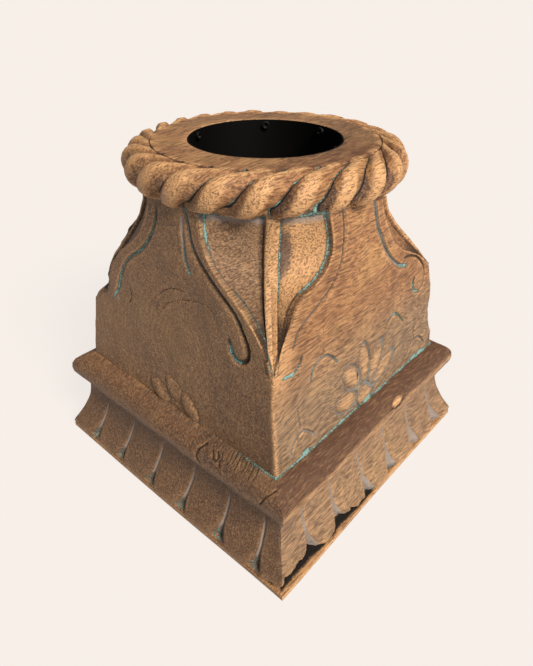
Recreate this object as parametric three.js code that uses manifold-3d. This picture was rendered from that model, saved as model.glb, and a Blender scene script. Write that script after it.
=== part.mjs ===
// Carved timber column base: a square foot with a row of petals, a rounded ledge, a leaning
// four-sided body with a leaf on each corner, and a rope moulding round a flat top. The top is
// bored for a sheet-metal lining, which six small screws hold. Millimetres, +Z up, origin at
// the bottom centre. Face 0 looks along +X, and the others follow anticlockwise.
import * as THREE from 'three';
import { mergeVertices } from 'three/addons/utils/BufferGeometryUtils.js';
import Module from 'manifold-3d';

const wasm = await Module();
wasm.setup();

// Driving dimensions: heights, from the floor up
const lipHeight = 5.5;
const petalHeight = 54.5;
const ledgeHeight = 34;
const bodyHeight = 176;
const ropeHeight = 30.4;

// Driving dimensions: half-widths of the square mouldings and the lean of the body
const footHalf = 140;
const waistHalf = 124;
const ledgeHalf = 134.2;
const bodyHalf = 116.7;
const bodyLean = 5.26;

// Rope moulding and the flat top inside it
const ropeRadius = 114.9;
const ropeBulge = 14;
const strands = 24;
const strandDepth = 6;
const topRadius = 92;
const edgeLine = 1.4;

// Petals: the grooves of a side, the half petal at each corner, and the hollows between the ends
const petalGrooves = 6;
const cornerPetal = 35;
const petalGroove = 1.3;
const petalGap = 11;
const petalHollow = 7;
const noseSlot = 4;

// Corner leaves and the carved lines of the faces
const leafSink = 4;
const ribHalf = 7;
const ribProud = 3.2;
const bandDepth = 3.4;
const lineDepth = 1.8;
const lineHalf = 1.3;
const rosetteDepth = 3;

// Bore, lining and screws
const boreRadius = 63;
const boreDepth = 141;
const liningWall = 1.2;
const screwHead = 3.5;
const screwDome = 2.1;
const screwShank = 1.5;
const screwLength = 12;
const screwDrop = 5;
const clearance = 0.3;
const roundSides = 48;
const screwSides = 8;

// Heights and slopes that follow from them
const ledgeFoot = lipHeight + petalHeight;
const bodyFoot = ledgeFoot + ledgeHeight;
const ropeFoot = bodyFoot + bodyHeight;
const totalHeight = ropeFoot + ropeHeight;
const leanSlope = Math.tan(THREE.MathUtils.degToRad(bodyLean));
const bodyAt = (z) => bodyHalf - leanSlope * (z - bodyFoot);
// A cutter reaches past the wood by one of these, and a joined piece into it by the larger
const proud = 1;
const overshoot = 6;

// Joining and cutting

// The index of a geometry turned, if it must be, so that its faces point out
function facesOut(points, index) {
  let volume = 0;
  const [a, b, c] = [new THREE.Vector3(), new THREE.Vector3(), new THREE.Vector3()];
  for (let i = 0; i < index.length; i += 3) {
    a.fromArray(points, 3 * index[i]);
    b.fromArray(points, 3 * index[i + 1]);
    c.fromArray(points, 3 * index[i + 2]);
    volume += a.dot(b.cross(c));
  }
  return volume < 0 ? index.reverse() : index;
}

// A three.js geometry as a solid that can be joined and cut
function solidOf(geometry) {
  const bare = geometry.clone();
  bare.deleteAttribute('normal');
  bare.deleteAttribute('uv');
  const merged = mergeVertices(bare, 1e-4);
  const index = [];
  for (let i = 0; i < merged.index.count; i += 3) {
    const [a, b, c] = [0, 1, 2].map((k) => merged.index.getX(i + k));
    if (a !== b && b !== c && c !== a) index.push(a, b, c);
  }
  const points = merged.attributes.position.array;
  return new wasm.Manifold(new wasm.Mesh({
    numProp: 3,
    vertProperties: Float32Array.from(points),
    triVerts: Uint32Array.from(facesOut(points, index)),
  }));
}

function geometryOf(solid) {
  const mesh = solid.getMesh();
  const geometry = new THREE.BufferGeometry();
  geometry.setAttribute('position', new THREE.Float32BufferAttribute(mesh.vertProperties, 3));
  geometry.setIndex(Array.from(mesh.triVerts));
  geometry.computeVertexNormals();
  return geometry;
}

const cutAll = (solid, cutters) => cutters.reduce((rest, cutter) => rest.subtract(cutter), solid);
const joinAll = (solid, pieces) => pieces.reduce((sum, piece) => sum.add(piece), solid);

// A closed body through rings of points that have the same count, with a flat cap on each end
function loft(rings) {
  const count = rings[0].length;
  const index = [];
  for (let r = 0; r + 1 < rings.length; r += 1) {
    for (let i = 0; i < count; i += 1) {
      const j = (i + 1) % count;
      const [low, high] = [r * count, (r + 1) * count];
      index.push(low + i, low + j, high + j, low + i, high + j, high + i);
    }
  }
  const last = (rings.length - 1) * count;
  for (const [a, b, c] of capOf(rings[0])) index.push(a, c, b);
  for (const [a, b, c] of capOf(rings[rings.length - 1])) index.push(last + a, last + b, last + c);
  const geometry = new THREE.BufferGeometry();
  const points = rings.flat().flatMap((p) => p.toArray());
  geometry.setAttribute('position', new THREE.Float32BufferAttribute(points, 3));
  geometry.setIndex(index);
  return solidOf(geometry);
}

// Triangles that fill a flat ring and run the same way round as it does
function capOf(ring) {
  const normal = new THREE.Vector3();
  ring.forEach((p, i) => {
    normal.add(new THREE.Vector3().crossVectors(p, ring[(i + 1) % ring.length]));
  });
  const right = new THREE.Vector3().subVectors(ring[1], ring[0]).normalize();
  const up = new THREE.Vector3().crossVectors(normal, right).normalize();
  const flat = ring.map((p) => new THREE.Vector2(p.dot(right), p.dot(up)));
  return THREE.ShapeUtils.triangulateShape(flat, []).map(([a, b, c]) => {
    const turn = flat[b].clone().sub(flat[a]).cross(flat[c].clone().sub(flat[a]));
    return turn > 0 ? [a, b, c] : [a, c, b];
  });
}

// A round or, with four sides, a square moulding from a profile of half-widths and heights
function turned(profile, sides) {
  const square = sides === 4;
  const reach = square ? Math.SQRT2 : 1;
  const points = profile.map(([r, z]) => new THREE.Vector2(r * reach, z));
  const start = square ? Math.PI / 4 : 0;
  return solidOf(new THREE.LatheGeometry(points, sides, start).rotateX(Math.PI / 2));
}

// Places on the faces

// A point on face `face`, `u` to the right of its middle, `z` up and `depth` into the wood
function onFace(face, half, u, z, depth) {
  const turn = face * Math.PI / 2;
  const out = half - depth;
  return new THREE.Vector3(
    out * Math.cos(turn) - u * Math.sin(turn), out * Math.sin(turn) + u * Math.cos(turn), z);
}

// Carving is drawn in shares of the body: across its half-width at the foot, and up its height
const across = (share) => share * bodyHalf;
const height = (share) => bodyFoot + share * bodyHeight;
const drawn = (u, z) => new THREE.Vector2(across(u), height(z));

// Value of a line through [share of height, value] pairs
function along(pairs, share) {
  const next = pairs.findIndex(([s]) => s >= share);
  if (next <= 0) return pairs[next < 0 ? pairs.length - 1 : 0][1];
  const [[s0, v0], [s1, v1]] = [pairs[next - 1], pairs[next]];
  return THREE.MathUtils.mapLinear(share, s0, s1, v0, v1);
}

// A groove carved along a curve of (u, z) on a face. It fades at both ends. `left` and `right`
// are its half-widths on the two sides of its bottom line.
function groove(face, curve, { depth, left, right, stations = 12, fade = 0.15 }) {
  const rings = [];
  for (let i = 0; i <= stations; i += 1) {
    const share = i / stations;
    const p = curve.getPointAt(share);
    const t = curve.getTangentAt(share);
    const size = Math.min(1, 0.3 + 0.7 * Math.min(share, 1 - share) / fade);
    const side = (width, sink) => {
      const [u, z] = [p.x - t.y * width * size, p.y + t.x * width * size];
      return onFace(face, bodyAt(z), u, z, sink);
    };
    rings.push([side(left, -proud), side(0, depth * size), side(-right, -proud)]);
  }
  return loft(rings);
}

// Square mouldings: foot, petal cove and ledge in one profile, and the leaning body

// Shares of the cove's height, against shares of its reach from the waist out to the foot
const cove = [[0.02, 1], [0.08, 1], [0.15, 0.85], [0.3, 0.6], [0.47, 0.35], [0.66, 0.13],
  [0.85, 0.01], [1, 0]];
const coveAt = (z) => waistHalf + (footHalf - waistHalf) * along(cove, (z - lipHeight) / petalHeight);

// Shares of the ledge's height, against shares of its reach from the waist out to its nose
const ledge = [[0, 0.1], [0.3, 0.88], [0.43, 0.98], [0.56, 1], [0.7, 0.82], [0.84, 0.5],
  [1, -0.35]];

function mouldings() {
  const petals = cove.map(([s]) => lipHeight + s * petalHeight).map((z) => [coveAt(z), z]);
  const nose = ledge.map(([share, out]) => (
    [waistHalf + out * (ledgeHalf - waistHalf), ledgeFoot + share * ledgeHeight]));
  const profile = [[0, 0], [footHalf, 0], [footHalf, lipHeight], [footHalf - noseSlot, lipHeight],
    ...petals, ...nose, [bodyHalf - overshoot, bodyFoot], [0, bodyFoot]];
  return turned(profile, 4);
}

function body() {
  const [low, high] = [bodyFoot - overshoot, ropeFoot + ropeHeight / 6];
  return turned([[0, low], [bodyAt(low), low], [bodyAt(high), high], [0, high]], 4);
}

// Petals: a thin groove down the cove that opens into a hollow between two rounded ends
function petalCutters(face) {
  const pitch = 2 * (footHalf - cornerPetal) / (petalGrooves - 1);
  const rows = [0, 0.08, 0.18, 0.32, 0.5, 0.96];
  const opensAt = 0.5;
  const cutters = [];
  for (let k = 0; k < petalGrooves; k += 1) {
    const u = (k - (petalGrooves - 1) / 2) * pitch;
    const rings = rows.map((share) => {
      const z = lipHeight + share * petalHeight;
      const open = Math.max(0, 1 - share / opensAt) ** 2;
      const half = petalGroove + (petalGap - petalGroove) * open;
      const deep = petalGroove + (petalHollow - petalGroove) * open;
      const point = (side, sink) => onFace(face, coveAt(z), u + side * half, z, sink);
      return [point(-1, -proud), point(0, deep), point(1, -proud)];
    });
    cutters.push(loft(rings));
  }
  return cutters;
}

// Corner leaves

// Where a corner is cut back to: shares of the foot's half-width, against shares of height
const cornerLine = [[0.47, 0.945], [0.534, 0.905], [0.59, 0.844], [0.663, 0.771], [0.736, 0.703],
  [0.809, 0.651], [0.888, 0.626], [1.2, 0.617]];
// The leaf's edge on a face: a broad half and a slim one
const broadEdge = [[0.47, 0.945], [0.534, 0.908], [0.607, 0.792], [0.663, 0.72], [0.713, 0.648],
  [0.742, 0.552], [0.787, 0.45], [0.86, 0.392], [0.95, 0.392], [1.2, 0.43]];
const slimEdge = [[0.47, 0.945], [0.534, 0.908], [0.607, 0.828], [0.646, 0.762], [0.7, 0.625],
  [0.753, 0.507], [0.82, 0.392], [0.888, 0.312], [1, 0.255], [1.2, 0.25]];
const leafTip = 0.47;

// The wood to take off one corner, after face `face` and before the next one round
function leafCutter(face, edgeBefore, edgeAfter) {
  const rows = [leafTip, 0.5, 0.534, 0.57, 0.607, 0.65, 0.713, 0.742, 0.787, 0.86, 0.95, 1.06];
  const rings = rows.map((share) => {
    const z = height(share);
    const grown = THREE.MathUtils.smoothstep(share, leafTip, 0.7);
    const half = bodyAt(z);
    const corner = Math.min(across(along(cornerLine, share)), half);
    const foot = ribHalf * (0.25 + 0.75 * grown) * Math.SQRT1_2;
    const edgeAt = (pairs) => Math.min(across(along(pairs, share)), corner - 1.3 * foot);
    const [before, after] = [edgeAt(edgeBefore), edgeAt(edgeAfter)];
    const sunk = half - leafSink * grown;
    const floor = corner - ribProud * grown * Math.SQRT1_2;
    const wide = half + overshoot;
    const midway = (edge, rib) => (edge + rib) / 2 - leafSink * 0.3 * grown;
    const outline = [
      [wide, before], [sunk, before],
      [midway(sunk, floor + foot), midway(before, floor - foot)],
      [floor + foot, floor - foot],
      [corner + foot * 0.6, corner - foot * 0.6], [corner - foot * 0.6, corner + foot * 0.6],
      [floor - foot, floor + foot],
      [midway(after, floor - foot), midway(sunk, floor + foot)],
      [after, sunk], [after, wide], [wide, wide],
    ];
    return outline.map(([out, u]) => onFace(face, out, u, z, 0));
  });
  return loft(rings);
}

// The line that marks off a band beside each leaf, from the rope down to a hooked end.
// neck, turn and hook are shares: where it starts, where it turns under, and the hook's radius.
function bandLine(side, { neck, pull, turn, hook, sweep }) {
  const path = new THREE.CurvePath();
  const [turnU, turnZ] = turn;
  path.add(new THREE.CubicBezierCurve(drawn(side * neck, 1), drawn(side * pull[0], pull[1]),
    drawn(side * (turnU - 0.02), turnZ + pull[2]), drawn(side * turnU, turnZ)));
  const radius = across(hook);
  const centre = drawn(side * (turnU - hook), turnZ);
  const end = THREE.MathUtils.degToRad(sweep);
  path.add(side > 0
    ? new THREE.EllipseCurve(centre.x, centre.y, radius, radius, 0, -end, true)
    : new THREE.EllipseCurve(centre.x, centre.y, radius, radius, Math.PI, Math.PI + end, false));
  return path;
}

const bands = {
  nearRight: { neck: 0.257, pull: [0.19, 0.69, 0.13], turn: [0.78, 0.5], hook: 0.05, sweep: 200 },
  farRight: { neck: 0.09, pull: [0.12, 0.56, 0.17], turn: [0.825, 0.478], hook: 0.1, sweep: 185 },
  nearFront: { neck: 0.15, pull: [0.18, 0.75, 0.17], turn: [0.732, 0.53], hook: 0.09, sweep: 185 },
  farFront: { neck: 0.15, pull: [0.2, 0.75, 0.2], turn: [0.66, 0.48], hook: 0.08, sweep: 150 },
};
const bandsOf = [
  { left: bands.nearRight, right: bands.farRight },
  { left: bands.nearFront, right: bands.nearFront },
  { left: bands.nearFront, right: bands.nearFront },
  { left: bands.farFront, right: bands.nearFront },
];

// The steep side of a band's line is the band's own, and the gentle side runs out into the panel
function bandCutters(face) {
  const { left, right } = bandsOf[face];
  const cut = { depth: bandDepth, stations: 14, fade: 0.08 };
  const [steep, gentle] = [bandDepth / 3, bandDepth];
  return [
    groove(face, bandLine(-1, left), { ...cut, left: gentle, right: steep }),
    groove(face, bandLine(1, right), { ...cut, left: steep, right: gentle }),
  ];
}

// Carved lines: an arch with a spike over it
function archCutters(face, { u, z, span, rise, spike }) {
  const arch = new THREE.QuadraticBezierCurve(
    drawn(u - span / 2, z - rise / 2), drawn(u, z + rise), drawn(u + span / 2, z - rise / 2));
  const upright = new THREE.LineCurve(drawn(u, z + rise / 3), drawn(u, z + rise / 3 + spike));
  const cut = { depth: lineDepth, left: lineHalf, right: lineHalf, fade: 0.35 };
  return [groove(face, arch, { ...cut, stations: 8 }), groove(face, upright, { ...cut, stations: 3 })];
}

// Only face 0 still has its arches
const arches = [
  { u: -0.46, z: 0.38, span: 0.27, rise: 0.07, spike: 0.15 },
  { u: 0.38, z: 0.345, span: 0.25, rise: 0.05, spike: 0.18 },
  { u: -0.72, z: 0.11, span: 0.26, rise: 0.14, spike: 0.1 },
  { u: 0.68, z: 0.11, span: 0.26, rise: 0.14, spike: 0.1 },
];

// Half rosettes that rise from the ledge: a sunk bed under each petal, and a rounded petal in it

// An oval ring of points about a petal's middle, at one depth
function petalRing(face, [u, z], angle, [long, wide], depth, sides) {
  return Array.from({ length: sides }, (_, i) => {
    const turn = 2 * Math.PI * i / sides;
    const [a, b] = [long * Math.cos(turn), wide * Math.sin(turn)];
    const pu = u + a * Math.cos(angle) - b * Math.sin(angle);
    const pz = z + a * Math.sin(angle) + b * Math.cos(angle);
    return onFace(face, bodyAt(z), pu, pz, depth + leanSlope * (pz - z));
  });
}

// A fan of petals from angle `from` to angle `to`, with a button at its middle if it has one.
// near, length, width and button are shares of the body's half-width.
function rosette(face, { petals, from, to, near, length, width, button, raised, sides = 9 }) {
  const beds = [];
  const lobes = [];
  const middle = drawn(0, 0.03);
  const shape = (centre, angle, [long, wide]) => {
    const ring = (scale, depth) => (
      petalRing(face, centre, angle, [long * scale, wide * scale], depth, sides));
    if (button) beds.push(loft([ring(1.12, -proud), ring(0.9, rosetteDepth)]));
    const [root, shoulder] = [rosetteDepth + proud, rosetteDepth / 2 - raised];
    lobes.push(loft([ring(0.86, root), ring(0.84, shoulder), ring(0.45, -raised)]));
  };
  for (let k = 0; k < petals; k += 1) {
    const angle = THREE.MathUtils.degToRad(THREE.MathUtils.mapLinear(k, 0, petals - 1, from, to));
    const reach = across(near + length / 2);
    const centre = [middle.x + reach * Math.cos(angle), middle.y + reach * Math.sin(angle)];
    shape(centre, angle, [across(length / 2), across(width / 2)]);
  }
  if (button) shape([middle.x, middle.y], 0, [across(button), across(button)]);
  return { beds, lobes };
}

const fullRosette = {
  petals: 5, from: 24, to: 160, near: 0.1, length: 0.34, width: 0.155, button: 0.1, raised: 0.4,
};
const wornRosette = {
  petals: 3, from: 22, to: 158, near: 0.03, length: 0.24, width: 0.17, button: 0, raised: 2,
};
const rosetteOf = [fullRosette, wornRosette, wornRosette, wornRosette];

// Rope moulding and flat top. Each strand leans, has a steep side and a long sloping one, and
// its columns of points lean with it, so that a groove's bottom is one line of points.

// Round the rope's section: the angle, the share of the strands' depth, and the lean in strands
const ropeRows = [[-72, 0.35, 0], [-42, 0.9, 0.18], [-12, 1, 0.38], [18, 1, 0.57], [48, 0.9, 0.8],
  [80, 0.45, 1.15]];
const topLean = 1.3;
// Across a strand: the share of its width, and how near to the crest it stands there
const strandPhases = [[0, 0], [0.14, 0.85], [0.42, 1], [0.8, 0.6]];
// How far round the first groove starts, in strands
const firstStrand = -0.36;

function ropeAndTop() {
  const middle = new THREE.Vector2(ropeRadius - ropeBulge, totalHeight - ropeHeight / 2);
  const tall = ropeHeight / 2 / ropeBulge;
  const buried = ropeFoot + ropeHeight / 12;
  const rim = [
    { r: 0, z: buried, relief: 0, lean: 0 },
    ...ropeRows.map(([angle, relief, lean]) => {
      const turn = THREE.MathUtils.degToRad(angle);
      const [out, up] = [ropeBulge * Math.cos(turn), ropeBulge * tall * Math.sin(turn)];
      return { r: middle.x + out, z: middle.y + up, relief, lean };
    }),
    { r: topRadius + edgeLine / 2, z: totalHeight - edgeLine, relief: 0, lean: topLean },
    { r: topRadius - edgeLine / 2, z: totalHeight, relief: 0, lean: topLean },
    { r: 0, z: totalHeight, relief: 0, lean: topLean },
  ];
  const pitch = 2 * Math.PI / strands;
  const profile = rim.map(({ r, z }) => new THREE.Vector2(r, z));
  const columns = strands * strandPhases.length;
  const geometry = new THREE.LatheGeometry(profile, columns);
  const position = geometry.attributes.position;
  for (let i = 0; i < position.count; i += 1) {
    const row = rim[i % rim.length];
    const column = Math.floor(i / rim.length) % columns;
    const [phase, crest] = strandPhases[column % strandPhases.length];
    const strand = Math.floor(column / strandPhases.length);
    const azimuth = (strand + phase + row.lean + firstStrand) * pitch;
    const sink = strandDepth * row.relief * (1 - crest);
    const away = new THREE.Vector2(row.r - middle.x, (row.z - middle.y) / tall);
    if (row.r > 0) away.setLength(Math.max(away.length() - sink, 0));
    const r = row.relief ? middle.x + away.x : row.r;
    const z = row.relief ? middle.y + away.y * tall : row.z;
    position.setXYZ(i, r * Math.cos(azimuth), r * Math.sin(azimuth), z);
  }
  return solidOf(geometry);
}

// Wear: a broken corner under the worn leaf, a chip at the bore's edge and broken petal noses

// A rough pebble of wood, gone from a broken place
function chip(x, y, z, [sx, sy, sz], turn = 0) {
  const pebble = new THREE.SphereGeometry(1, 9, 6).rotateX(Math.PI / 2);
  return solidOf(pebble.scale(sx, sy, sz).rotateZ(turn).translate(x, y, z));
}

const cornerChip = 9;
const rimChip = [5, 8, 5];
const rimChipAngle = THREE.MathUtils.degToRad(45);
// Where the petals' noses are broken away: shares along face 0, and the height that is gone
const brokenNoses = [[-1.02, 9], [-0.75, 8], [-0.5, 7], [-0.25, 4], [-0.1, 0.5]];

function wear() {
  const corner = bodyAt(height(leafTip));
  const [x, y] = [Math.cos(rimChipAngle), Math.sin(rimChipAngle)].map((v) => v * (boreRadius + proud));
  const [front, back] = [footHalf + overshoot, footHalf - 1.6 * noseSlot];
  const noses = brokenNoses.map(([share, tall]) => {
    const u = share * footHalf;
    return [onFace(0, front, u, lipHeight, 0), onFace(0, back, u, lipHeight, 0),
      onFace(0, back, u, lipHeight + 0.6 * tall, 0), onFace(0, front, u, lipHeight + tall, 0)];
  });
  return [
    chip(-corner, -corner, height(leafTip), [cornerChip, cornerChip, cornerChip]),
    chip(x, y, totalHeight, rimChip, rimChipAngle),
    loft(noses),
  ];
}

// Bore, lining and screws

const liningRadius = boreRadius - clearance;
const liningInside = liningRadius - liningWall;
const boreFloor = totalHeight - boreDepth;
const screwHeight = totalHeight - screwDrop;
const screwAngles = [17, 79, 132, 203, 257, 317].map(THREE.MathUtils.degToRad);

// A turned piece laid along the bore's radius, from `from` outwards, at a screw's place
function alongScrew(profile, angle, sides) {
  const points = profile.map(([r, x]) => new THREE.Vector2(r, x));
  const piece = new THREE.LatheGeometry(points, sides).rotateZ(-Math.PI / 2);
  return solidOf(piece.rotateZ(angle).translate(0, 0, screwHeight));
}

const rod = (radius, from, to) => [[0, from], [radius, from], [radius, to], [0, to]];

// The flat of a polygon of `sides` lies this far from the axis
const flatAt = (radius, sides) => radius * Math.cos(Math.PI / sides);

function screw(angle) {
  const seat = flatAt(liningInside, roundSides) - clearance;
  const head = [[0, seat - screwDome], [screwHead * 0.75, seat - screwDome * 0.7], [screwHead, seat]];
  const shank = [[screwShank, seat], [screwShank, seat + screwLength - screwShank],
    [0, seat + screwLength]];
  return alongScrew([...head, ...shank], angle, screwSides);
}

const shankHole = (angle, from, to) => alongScrew(rod(screwShank + clearance, from, to), angle, screwSides);

function lining() {
  const floor = boreFloor + clearance;
  const rim = totalHeight - clearance;
  const cup = turned([[0, floor], [liningRadius, floor], [liningRadius, rim], [liningInside, rim],
    [liningInside, floor + liningWall], [0, floor + liningWall]], roundSides);
  const [from, to] = [liningInside - 2 * proud, liningRadius + 2 * proud];
  return cutAll(cup, screwAngles.map((angle) => shankHole(angle, from, to)));
}

function timber() {
  const faces = [0, 1, 2, 3];
  const rosettes = faces.map((face) => rosette(face, rosetteOf[face]));
  // Each leaf lies after its face: the front corner follows face 3, and its half on face 0 is broad
  const leaves = [
    leafCutter(0, slimEdge, slimEdge), leafCutter(1, slimEdge, slimEdge),
    leafCutter(2, slimEdge, slimEdge), leafCutter(3, slimEdge, broadEdge)];
  let block = cutAll(body(), [...leaves, ...faces.flatMap(bandCutters),
    ...arches.flatMap((arch) => archCutters(0, arch)),
    ...rosettes.flatMap(({ beds }) => beds)]);
  block = joinAll(block, rosettes.flatMap(({ lobes }) => lobes));
  const foot = cutAll(mouldings(), faces.flatMap(petalCutters));
  block = joinAll(block, [foot, ropeAndTop()]);
  const bore = turned(rod(boreRadius, boreFloor, totalHeight + overshoot), roundSides);
  const [from, to] = [boreRadius - 2 * proud, liningInside + screwLength];
  const pilots = screwAngles.map((angle) => shankHole(angle, from, to));
  return cutAll(block, [bore, ...pilots, ...wear()]);
}

// Materials and the finished group

const wood = new THREE.MeshStandardMaterial({ color: 0x9c7049, roughness: 0.7, metalness: 0 });
const blackSheet = new THREE.MeshStandardMaterial({ color: 0x151310, roughness: 0.45, metalness: 0.3 });
const blackScrew = new THREE.MeshStandardMaterial({ color: 0x26241f, roughness: 0.4, metalness: 0.6 });

function named(name, solid, material) {
  const mesh = new THREE.Mesh(geometryOf(solid), material);
  mesh.name = name;
  return mesh;
}

const group = new THREE.Group();
group.add(named('carved_base', timber(), wood));
group.add(named('lining', lining(), blackSheet));
screwAngles.forEach((angle, i) => group.add(named(`lining_screw_${i + 1}`, screw(angle), blackScrew)));

export default group;
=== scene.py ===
"""Carved timber column base with a rope rim, corner leaves, petals and a black sheet lining."""
import math
from collections import namedtuple
from types import SimpleNamespace

import bpy
import numpy as np
from mathutils import Euler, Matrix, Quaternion, Vector


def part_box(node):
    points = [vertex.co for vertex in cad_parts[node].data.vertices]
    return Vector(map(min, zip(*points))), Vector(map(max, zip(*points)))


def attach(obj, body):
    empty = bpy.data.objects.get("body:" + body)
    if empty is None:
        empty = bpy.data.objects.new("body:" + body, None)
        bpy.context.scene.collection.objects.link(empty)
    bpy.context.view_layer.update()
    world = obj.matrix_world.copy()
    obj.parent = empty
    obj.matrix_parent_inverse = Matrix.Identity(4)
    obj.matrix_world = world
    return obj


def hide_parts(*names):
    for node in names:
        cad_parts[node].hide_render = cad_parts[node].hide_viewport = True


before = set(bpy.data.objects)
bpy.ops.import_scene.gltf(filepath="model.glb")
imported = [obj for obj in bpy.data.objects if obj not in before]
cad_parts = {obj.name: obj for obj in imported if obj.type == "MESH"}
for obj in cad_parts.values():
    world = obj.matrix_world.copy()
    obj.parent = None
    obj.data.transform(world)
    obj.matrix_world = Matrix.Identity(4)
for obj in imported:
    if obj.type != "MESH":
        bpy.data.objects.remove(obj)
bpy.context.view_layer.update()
TIMBER_LOW, TIMBER_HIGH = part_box("carved_base")
LINING_LOW, LINING_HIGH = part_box("lining")
SCREWS = sorted(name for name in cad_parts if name.startswith("lining_screw"))

bl_info = {
    "name": "Carved Column Base",
    "version": (1, 0, 0),
    "blender": (4, 5, 0),
    "location": "3D View > Sidebar > Column Base",
    "description": "Models a weathered, carved timber column base with its lining and a studio",
    "category": "Object",
}

MM = 0.001


# Settings

class TimberSizes(bpy.types.PropertyGroup):
    """Sizes of the carved block"""
    foot_half: bpy.props.FloatProperty(
        name="Foot", description="Half the width of the square foot",
        default=TIMBER_HIGH.x, unit="LENGTH")
    height: bpy.props.FloatProperty(
        name="Height", description="From the floor to the flat top",
        default=TIMBER_HIGH.z, unit="LENGTH")
    lip: bpy.props.FloatProperty(
        name="Lip", description="Height of the plain lip under the petals", default=0.0055, unit="LENGTH")
    petals: bpy.props.FloatProperty(
        name="Petals", description="Height of the band of petals", default=0.0545, unit="LENGTH")
    ledge: bpy.props.FloatProperty(
        name="Ledge", description="Height of the rounded ledge", default=0.034, unit="LENGTH")
    rope: bpy.props.FloatProperty(
        name="Rope", description="Height of the rope moulding", default=0.0304, unit="LENGTH")
    waist_half: bpy.props.FloatProperty(
        name="Waist", description="Half the width under the ledge", default=0.124, unit="LENGTH")
    ledge_half: bpy.props.FloatProperty(
        name="Ledge nose", description="Half the width over the ledge", default=0.1342, unit="LENGTH")
    body_half: bpy.props.FloatProperty(
        name="Body", description="Half the width of the body at its foot", default=0.1167, unit="LENGTH")
    body_lean: bpy.props.FloatProperty(
        name="Body lean", description="How much the body draws in over its height",
        default=0.0162, unit="LENGTH")
    rope_radius: bpy.props.FloatProperty(
        name="Rope radius", description="Radius over the rope", default=0.1149, unit="LENGTH")
    rope_bulge: bpy.props.FloatProperty(
        name="Rope bulge", description="Half the rope's thickness", default=0.014, unit="LENGTH")
    strand_depth: bpy.props.FloatProperty(
        name="Strand depth", description="Depth of the grooves between strands",
        default=0.0072, unit="LENGTH")
    flat_radius: bpy.props.FloatProperty(
        name="Flat top", description="Radius of the incised line round the flat top",
        default=0.0924, unit="LENGTH")
    bore_radius: bpy.props.FloatProperty(
        name="Bore", description="Radius of the bore", default=0.063, unit="LENGTH")
    bore_floor: bpy.props.FloatProperty(
        name="Bore floor", description="Height of the bore's floor",
        default=LINING_LOW.z - 0.0003, unit="LENGTH")


class WoodColours(bpy.types.PropertyGroup):
    """Colours of the wood and of what is left on it"""
    heart: bpy.props.StringProperty(
        name="Heartwood", description="Main colour of the wood, sRGB hex", default="#8d6441")
    golden: bpy.props.StringProperty(
        name="Golden patches", description="Lighter, waxed patches, sRGB hex", default="#a1794d")
    brown: bpy.props.StringProperty(
        name="Dark grain", description="Darker grain and latewood, sRGB hex", default="#5f3b22")
    worn: bpy.props.StringProperty(
        name="Worn edges", description="Rubbed edges, sRGB hex", default="#bf9467")
    # The dirt colour is also used for painted shade in the ribs' gutters, the slot under the petals and on
    # the rope's walls.
    dirt: bpy.props.StringProperty(
        name="Dirt", description="Old dirt in the carving, sRGB hex", default="#22160d")
    green: bpy.props.StringProperty(
        name="Green paint", description="Remains of blue-green paint, sRGB hex", default="#759792")
    grey: bpy.props.StringProperty(
        name="Grey paint", description="Remains of grey-white ground, sRGB hex", default="#847e7a")
    # The stain colour is also used for painted shade on the rope's walls.
    stain: bpy.props.StringProperty(
        name="Stain", description="Purple-black stains, sRGB hex", default="#322525")


class StudioSettings(bpy.types.PropertyGroup):
    """Camera, floor and light"""
    place: bpy.props.FloatVectorProperty(
        name="Camera", description="Place of the camera",
        default=(0.30113, -0.33332, 0.41048), subtype="TRANSLATION", unit="LENGTH")
    pan: bpy.props.FloatProperty(
        name="Pan", description="Turn of the camera about the upright axis",
        default=2.302849 - math.pi / 2, subtype="ANGLE")
    tilt: bpy.props.FloatProperty(
        name="Tilt", description="How far the camera looks down", default=0.499330, subtype="ANGLE")
    roll: bpy.props.FloatProperty(
        name="Roll", description="Turn of the camera about its own axis",
        default=0.003685, subtype="ANGLE")
    lens: bpy.props.FloatProperty(
        name="Lens", description="Focal length, in millimetres", default=29.985)
    rise: bpy.props.FloatProperty(
        name="Rise", description="Vertical shift of the lens", default=-0.0751)
    key_power: bpy.props.FloatProperty(
        name="Key light", description="Strength of the soft light from the right", default=6.3)
    world_light: bpy.props.FloatProperty(
        name="Sky", description="Strength of the even light from all round", default=0.22)
    floor_colour: bpy.props.StringProperty(
        name="Floor", description="Colour of the floor, sRGB hex", default="#f6efe9")


# Small helpers for values

def in_mm(group):
    """All lengths of a group of settings, in millimetres."""
    return SimpleNamespace(**{name: getattr(group, name) / MM for name in type(group).__annotations__})


def linear(colour):
    """sRGB hex as a linear colour with full alpha."""
    parts = [int(colour[i:i + 2], 16) / 255 for i in (1, 3, 5)]
    return tuple(c / 12.92 if c <= 0.04045 else ((c + 0.055) / 1.055) ** 2.4 for c in parts) + (1.0,)


def unit(value):
    return np.clip(value, 0, 1)


def smoothstep(value, low, high):
    share = unit((value - low) / (high - low))
    return share * share * (3 - 2 * share)


def bump(value, middle, reach, top=1):
    """Highest where a value lies at the middle, and less with every reach away from it."""
    return np.clip(top - np.abs(value - middle) / reach, 0, 1)


def smooth_points(points, per_span=6):
    """A smooth line through given points."""
    p = np.array(points, float)
    p = np.vstack([2 * p[0] - p[1], p, 2 * p[-1] - p[-2]])
    line = []
    for a, b, c, d in zip(p[:-3], p[1:-2], p[2:-1], p[3:]):
        for k in np.arange(per_span) / per_span:
            line.append(0.5 * (2 * b + (c - a) * k + (2 * a - 5 * b + 4 * c - d) * k ** 2
                               + (3 * b - a - 3 * c + d) * k ** 3))
    line.append(p[-2])
    return np.array(line)


def along(points, share):
    """Place on a smooth line, for shares from 0 at its first point to 1 at its last."""
    line = smooth_points(points, 8)
    at = np.linspace(0, 1, len(line))
    return [np.interp(share, at, line[:, k]) for k in range(line.shape[1])]


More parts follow.
